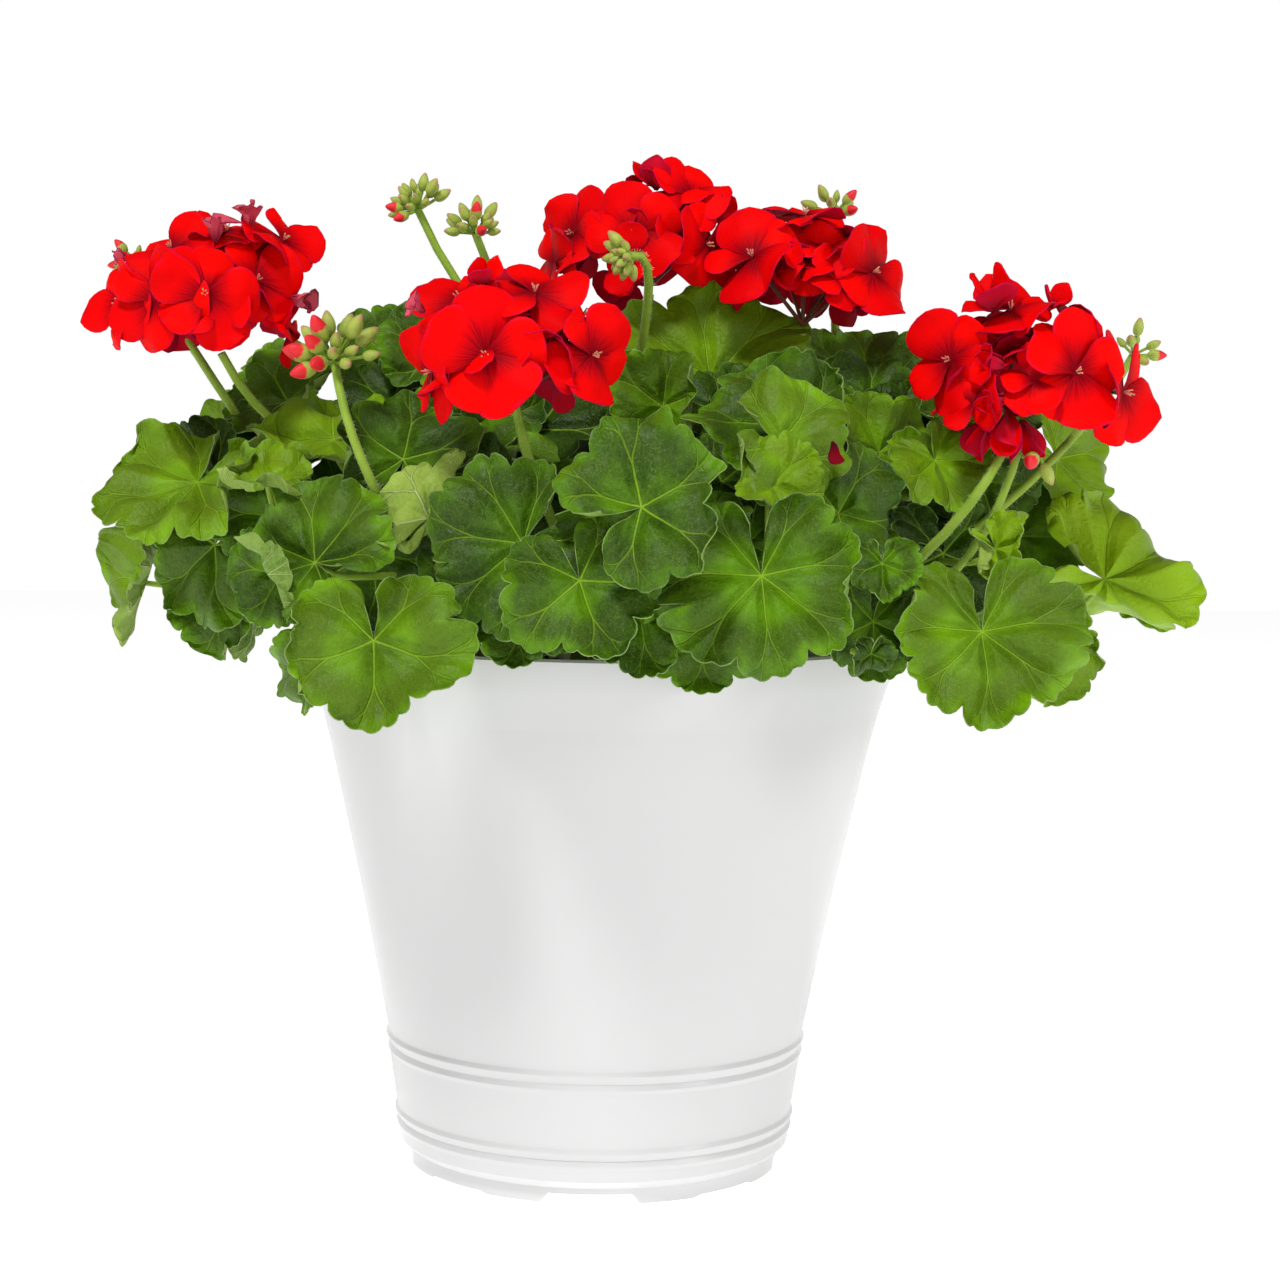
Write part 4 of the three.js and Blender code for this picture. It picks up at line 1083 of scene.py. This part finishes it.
# Florets behind and between those of the solid
fillerForm = {**petalForm, "rows": 6, "columns": 6, "liftSpread": 44, "turnSpread": 40}
fillers = {"count": 12, "out": 28, "radius": 15, "lowest": 10, "highest": 88}
# Half open florets: petals still rolled into a tube round each other
rolledForm = {
    **petalForm, "petals": 3, "rows": 8, "columns": 8, "lift": 66, "liftSpread": 8, "rollSpread": 6,
    "halfWidth": 0.5, "roll": (0.3, 1.3), "turnSpread": 8, "lap": 0.06, "dome": 0, "curl": 0.5,
}
extraForms = {
    "open": petalForm,
    "closed": {
        **petalForm, "petals": 3, "lift": 76, "liftSpread": 14, "halfWidth": 0.3, "ruffle": 0.08,
        "fineRuffle": 0, "dome": -0.5,
    },
    "rolled": rolledForm,
    "spent": {**rolledForm, "lift": 62, "ruffle": 0.5, "material": 2},
    "pointed": {**petalForm, "petals": 3, "lift": 60, "halfWidth": 0.4, "point": 0.9, "liftSpread": 40},
}


def newPetals():
    bm = bmesh.new()
    return bm, (bm.loops.layers.uv.new("petal"), bm.verts.layers.float.new("tone"))


def addPetal(bm, layers, place, size, seed, look):
    uvLayer, toneLayer = layers
    grid = bmesh.ops.create_grid(bm, x_segments=look["columns"], y_segments=look["rows"], size=1)["verts"]
    for face in {face for vert in grid for face in vert.link_faces}:
        face.material_index = look["material"]
        for loop in face.loops:
            loop[uvLayer].uv = (loop.vert.co.x, (loop.vert.co.y + 1) / 2)
    rim = []
    tone = draw(seed, "tone")
    curl = look["curl"] * (2 * draw(seed, "curl") - 0.7)
    broad = look["halfWidth"] * (1 + look["widthSpread"] * drawAbout(seed, "bud"))
    for vert in grid:
        across = vert.co.x
        along = (vert.co.y + 1) / 2
        if along < 0.5:
            out = look["widest"] * along * 2
            width = look["footWidth"] + (1 - look["footWidth"]) * math.sin(math.pi * along) ** 1.3
        else:
            turn = (along - 0.5) * math.pi
            out = look["widest"] + (1 - look["widest"]) * math.sin(turn)
            width = math.cos(turn) ** (0.8 + look["point"]) if turn < math.pi / 2 - 0.001 else 0
            out -= look["notch"] * (1 - across ** 2) * math.sin(turn) ** 6 * draw(seed, "petal")
        side = across * width * broad
        wave = noise.noise(Vector((out * 1.9, side * 2.2, seed * 1.37)))
        fine = noise.noise(Vector((out * 6, side * 6, seed * 2.11)))
        rise = look["rise"] * out + look["lap"] * side - look["dome"] * (2 * side) ** 2
        rise += look["ruffle"] * out ** 2 * wave + look["fineRuffle"] * out ** 3 * fine
        rise -= curl * max(out - 0.5, 0) ** 2 * 4
        spot = Vector((out, side, look["footLift"] + rise))
        if "roll" in look:
            spot = foldOver(spot, rad(90), 0, *look["roll"])
            spot = foldOver(spot, rad(-90), 0, *look["roll"])
        if along > 0.999:
            rim.append(vert)
        vert.co = place @ (spot * size)
        vert.co *= mm
        vert[toneLayer] = tone
    bmesh.ops.remove_doubles(bm, verts=rim, dist=0.01 * mm)


def floretFrame(at, facing, seed):
    return bladeFrame(at, facing, 360 / petalForm["petals"] * draw(seed, "floretTurn"))


# One floret: petals that differ in size, turn, lift and roll
def addFloret(bm, layers, middle, radius, seed, look):
    for k in range(look["petals"]):
        own = seed * 5 + k
        turn = 360 / look["petals"] * k + look["offAxis"] + look["turnSpread"] * drawAbout(own, "direction")
        lift = look["lift"] + look["liftSpread"] * drawAbout(own, "height")
        roll = look["rollSpread"] * drawAbout(own, "distance")
        place = middle @ Matrix.Rotation(rad(turn), 4, "Z") @ Matrix.Rotation(rad(-lift), 4, "Y")
        place = place @ Matrix.Rotation(rad(roll), 4, "X")
        size = radius * (1 + look["sizeSpread"] * drawAbout(own, "size"))
        addPetal(bm, layers, place, size, own, look)


def facingOf(way):
    return math.degrees(math.atan2(way.x, -way.y)), math.degrees(math.asin(way.z))


# Where each of a head's own florets stands, with its radius
def floretPlaces(head, headSeed):
    centre = Vector(head["at"])
    for i, (offset, radius, facing) in enumerate(head["florets"]):
        seed = headSeed * 10 + i
        yield floretFrame(centre + Vector(offset), facing, seed), radius, seed


def petalPiece(name, head, headSeed):
    bm, layers = newPetals()
    centre = Vector(head["at"])
    for middle, radius, seed in floretPlaces(head, headSeed):
        addFloret(bm, layers, middle, radius, seed, petalForm)
    lowest = head.get("lowest", fillers["lowest"])
    for k in range(fillers["count"]):
        seed = 100 + headSeed * 20 + k
        level = math.sin(rad(lowest + (fillers["highest"] - lowest) * (k + 0.5) / fillers["count"]))
        spin = goldenAngle * k + headSeed
        flat = math.sqrt(1 - level * level)
        way = Vector((flat * math.cos(spin), flat * math.sin(spin), level))
        middle = floretFrame(centre + way * fillers["out"], facingOf(way), seed)
        addFloret(bm, layers, middle, fillers["radius"], seed, fillerForm)
    for kind, offset, radius, facing in head["extras"]:
        seed = 300 + headSeed * 20 + round(offset[0]) % 20
        middle = bladeFrame(centre + Vector(offset), facing, 0)
        addFloret(bm, layers, middle, radius, seed, extraForms[kind])
    return thinPiece(name, bm, petalThickness, 1)


# A bud is a pointed egg with five ribs. Sizes are shares of its length, and places of its cluster's
budForm = {
    "girth": 0.36,
    "ribs": 5,
    "ribRise": 0.08,
    "taper": 0.45,
    "height": 1.15,
    "shortest": 0.72,
    "lengthSpread": 0.36,
    "nearest": 0.7,
    "awaySpread": 0.55,
    "ripeGrowth": 1.3,
    "usualCount": 18,
}


def addBud(bm, layers, foot, direction, length, ripe):
    tipLayer, ripeLayer = layers
    verts = bmesh.ops.create_uvsphere(bm, u_segments=10, v_segments=8, radius=1)["verts"]
    turn = direction.to_track_quat("Z", "Y").to_matrix().to_4x4()
    place = Matrix.Translation(foot) @ turn
    for vert in verts:
        height = (vert.co.z + 1) / 2
        around = math.atan2(vert.co.y, vert.co.x)
        ribs = 1 + budForm["ribRise"] * math.cos(budForm["ribs"] * around)
        girth = budForm["girth"] * length * ribs * (1 - budForm["taper"] * height ** 2)
        vert[tipLayer] = height
        vert[ripeLayer] = ripe
        vert.co = place @ Vector((vert.co.x * girth, vert.co.y * girth, height * length * budForm["height"]))
        vert.co *= mm


# The buds of some clusters, and the thin stalks that carry them
def budPiece(name, clusters):
    bm = bmesh.new()
    layers = (bm.verts.layers.float.new("tip"), bm.verts.layers.float.new("ripe"))
    stalks = []
    for cluster, seed in clusters:
        centre = Vector(cluster["at"])
        axes = bladeFrame((0, 0, 0), cluster["lean"], 0).to_3x3()
        count = cluster.get("count", budForm["usualCount"])
        for k in range(count):
            own = seed * 16 + k
            level = 1 - 0.95 * (k + 0.4) / count
            spin = goldenAngle * k + seed
            flat = math.sqrt(1 - level * level)
            direction = axes @ Vector((flat * math.cos(spin), flat * math.sin(spin), level))
            length = cluster["length"] * (budForm["shortest"] + budForm["lengthSpread"] * draw(own, "bud"))
            away = budForm["nearest"] + budForm["awaySpread"] * draw(own, "height")
            away *= cluster.get("spread", 1)
            foot = centre + direction * away * cluster["length"]
            ripe = 1 if draw(own, "tone") < cluster["ripe"] else 0
            addBud(bm, layers, foot, direction, length * (budForm["ripeGrowth"] if ripe else 1), ripe)
            curve = [centre, centre.lerp(foot, 0.33), centre.lerp(foot, 0.67), foot]
            stalks.append((curve, plant["budPedicelRadii"]))
    return meshPiece(name, bm), stalks


# Fine pale hairs that stand off a stalk all the way up. Each is a thin closed spike with three sides
hair = {"perMillimetre": 3.2, "length": (0.7, 1.5), "radius": 0.06, "tipRadius": 0.015, "sunk": 0.1}


def addSpike(bm, foot, way, length, radius, tipRadius, sides):
    turn = way.to_track_quat("Z", "Y").to_matrix().to_4x4()
    bmesh.ops.create_cone(
        bm, cap_ends=True, segments=sides, radius1=radius * mm, radius2=tipRadius * mm, depth=length * mm,
        matrix=Matrix.Translation((foot + way * length / 2) * mm) @ turn)


def hairPiece(name, stalks):
    bm = bmesh.new()
    random.seed(11)
    for curve, radii in stalks:
        count = round((curve[-1] - curve[0]).length * hair["perMillimetre"])
        for k in range(count):
            t = (k + random.random()) / count
            point = curvePoint(curve, t)
            along = (curvePoint(curve, t + 0.01) - point).normalized()
            way = along.orthogonal().normalized()
            way.rotate(Matrix.Rotation(random.uniform(0, 2 * math.pi), 3, along))
            foot = point + way * (radii[0] + (radii[1] - radii[0]) * t - hair["sunk"])
            way = (way + along * random.uniform(-0.4, 0.2)).normalized()
            addSpike(bm, foot, way, random.uniform(*hair["length"]), hair["radius"], hair["tipRadius"], 3)
    return meshPiece(name, bm)


def hangingCurve():
    first = Vector(heads["far_right"]["at"])
    last = Vector(hangingBuds["at"])
    return [first, first + Vector((3, -3, 5)), last + Vector((0, 0, 6)), last]


# The stalks of the flower heads and bud clusters that a stem bears
def topStalks(name, stem, clusters):
    stalks = []
    for seed, head in enumerate(heads.values()):
        if head["stem"] == name:
            curve = peduncleCurve(stem, head, plant["headDrop"], seed)
            stalks.append((curve, plant["flowerStalkRadii"]))
            if "second" in head:
                curve = [Vector(place) for place in head["second"]]
                stalks.append((curve, plant["secondStalkRadii"]))
    for cluster, seed in clusters:
        stalks.append((peduncleCurve(stem, cluster, 0, seed), plant["budStalkRadii"]))
    return stalks


members = {name: [] for name in stems}
for rows in (numbered(leaves, 0), hiddenLeaves(), numbered(innerLeaves, firstInnerSeed)):
    for stem, leaf, seed in rows:
        members[stem].append((leaf, seed))

for name, stem in stems.items():
    node = "stem_" + name
    leafy = leafPiece("leaves_" + name, members[name])
    finishPiece(leafy, [leafFace, leafBack, leafRim], "leaves", node)
    petioles = [(petioleCurve(stem, leaf, seed), plant["leafStalkRadii"]) for leaf, seed in members[name]]
    clusters = [(c, len(heads) + i) for i, c in enumerate(budClusters) if c["stem"] == name]
    stalks = topStalks(name, stem, clusters)
    if stalks:
        finishPiece(hairPiece("hairs_" + name, stalks), [whiteHair], "leaves", node)
    if name == heads["far_right"]["stem"]:
        clusters.append((hangingBuds, hangingBudSeed))
        stalks.append((hangingCurve(), plant["hangingStalkRadii"]))
    if clusters:
        buds, budStalks = budPiece("buds_" + name, clusters)
        finishPiece(buds, [bud], "leaves", node)
        stalks += budStalks
    finishPiece(tubePiece("stalks_" + name, petioles + stalks, 2), [leafStalk], "leaves", node)
    trunk = tubePiece("trunk_" + name, [(stemCurve(stem), plant["stemRadii"])], 4)
    finishPiece(trunk, [stemBark], "leaves", node)
    print("Stem made:", name)

# The heart of a floret: stamens that stand in the middle, and the cup of sepals behind. stamenLength and
# cupLength are shares of the floret's radius, and the other sizes are millimetres
heart = {
    "stamens": 5,
    "spread": 0.3,
    "stamenFoot": 0.3,
    "stamenLength": 0.16,
    "stamenStep": 0.4,
    "stamenRadii": (0.2, 0.34),
    "cupFoot": 0.5,
    "cupLength": 0.3,
    "cupRadii": (1.7, 0.8),
}


def heartPiece(name, head, headSeed):
    bm = bmesh.new()
    for i, (axes, radius, _) in enumerate(floretPlaces(head, headSeed)):
        turn = axes.to_3x3()
        foot = axes @ Vector((0, 0, heart["stamenFoot"]))
        for k in range(heart["stamens"]):
            spin = goldenAngle * k + i
            lean = Vector((heart["spread"] * math.cos(spin), heart["spread"] * math.sin(spin), 1))
            length = heart["stamenLength"] * radius + heart["stamenStep"] * k
            addSpike(bm, foot, turn @ lean.normalized(), length, *heart["stamenRadii"], 4)
        stamenFaces = len(bm.faces)
        foot = axes @ Vector((0, 0, heart["cupFoot"]))
        addSpike(bm, foot, turn @ Vector((0, 0, -1)), heart["cupLength"] * radius, *heart["cupRadii"], 8)
        bm.faces.ensure_lookup_table()
        for face in bm.faces[stamenFaces:]:
            face.material_index = 1
    return meshPiece(name, bm)


# The thin dark stalks that carry a head's florets
def pedicelPiece(name, head, headSeed):
    centre = Vector(head["at"])
    stalks = []
    for axes, radius, _ in floretPlaces(head, headSeed):
        end = axes @ Vector((0, 0, 0.02 * radius))
        back = axes @ Vector((0, 0, -0.4 * radius))
        stalks.append(([centre, centre.lerp(back, 0.5), back, end], plant["floretPedicelRadii"]))
    return tubePiece(name, stalks, 1)


for seed, (name, head) in enumerate(heads.items()):
    node = "flower_" + name
    finishPiece(heartPiece("hearts_" + name, head, seed), [stamenPink, sepalGreen], "petals", node)
    petals = petalPiece("petals_" + name, head, seed)
    finishPiece(petals, [petal, petalBack, witheredPetal, witheredPetal], "petals", node)
    finishPiece(pedicelPiece("pedicels_" + name, head, seed), [flowerPedicel], "petals", node)
print("Flower heads made")


def makeFallenPetal():
    bm, layers = newPetals()
    place = bladeFrame(fallenPetal["at"], fallenPetal["facing"], fallenPetal["turn"])
    addPetal(bm, layers, place, fallenPetal["radius"], fallenPetal["seed"], petalForm)
    return thinPiece("petal_fallen", bm, petalThickness, 1)


finishPiece(makeFallenPetal(), [fadedPetal, fadedPetal], "dark_petal", "fallen_petal")

# Studio: a white floor that also glows, a white sky that dims towards its top, a large soft light high
# on the left front and a weaker one on the right
studio = {
    "skyLow": 1,
    "skyHigh": 0.1,
    "skyFrom": 0.17,
    "skyTo": 0.44,
    "floor": "#ececec",
    "floorGlow": 0.77,
    "floorSize": 8,
    "aim": (0, 0, 0.25),
    "lights": {
        "key": {"place": (-0.55, -1.3, 2.4), "size": 0.5, "power": 46},
        "fill": {"place": (1.6, -0.9, 0.9), "size": 0.5, "power": 7},
    },
}


def makeStudio():
    world = bpy.data.worlds.new("studio")
    world.use_nodes = True
    tree = world.node_tree
    directions = addNode(tree, "TexCoord", {}, {}, "Generated")
    height = addNode(tree, "SeparateXYZ", {}, {0: directions}, "Z")
    strength = addNode(tree, "MapRange", softStep, {
        "Value": height, "From Min": studio["skyFrom"], "From Max": studio["skyTo"],
        "To Min": studio["skyLow"], "To Max": studio["skyHigh"],
    })
    tree.nodes["Background"].inputs["Color"].default_value = (1, 1, 1, 1)
    tree.links.new(strength, tree.nodes["Background"].inputs["Strength"])
    bpy.context.scene.world = world
    bm = bmesh.new()
    bmesh.ops.create_grid(bm, x_segments=1, y_segments=1, size=studio["floorSize"] / 2)
    floor = meshPiece("floor", bm)
    material, tree = newMaterial("whitePaper")
    shader = addNode(tree, "BsdfPrincipled", {}, {
        "Base Color": paint(studio["floor"]), "Roughness": 0.9, "Specular IOR Level": 0.1,
        "Emission Color": (1, 1, 1, 1), "Emission Strength": studio["floorGlow"],
    })
    addNode(tree, "OutputMaterial", {}, {"Surface": shader})
    floor.data.materials.append(material)
    floor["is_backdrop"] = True
    for name, settings in studio["lights"].items():
        light = bpy.data.lights.new(name, "AREA")
        light.size = settings["size"]
        light.energy = settings["power"]
        lamp = bpy.data.objects.new(name, light)
        bpy.context.scene.collection.objects.link(lamp)
        lamp.location = settings["place"]
        aim = Vector(studio["aim"]) - Vector(settings["place"])
        lamp.rotation_euler = aim.to_track_quat("-Z", "Y").to_euler()
    bpy.context.scene.view_settings.view_transform = "Standard"


makeStudio()
print("Studio made")

boxes = {"cad": cadBounds, "visual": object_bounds()}
{name: [list(corner) for corner in box] for name, box in boxes.items()}
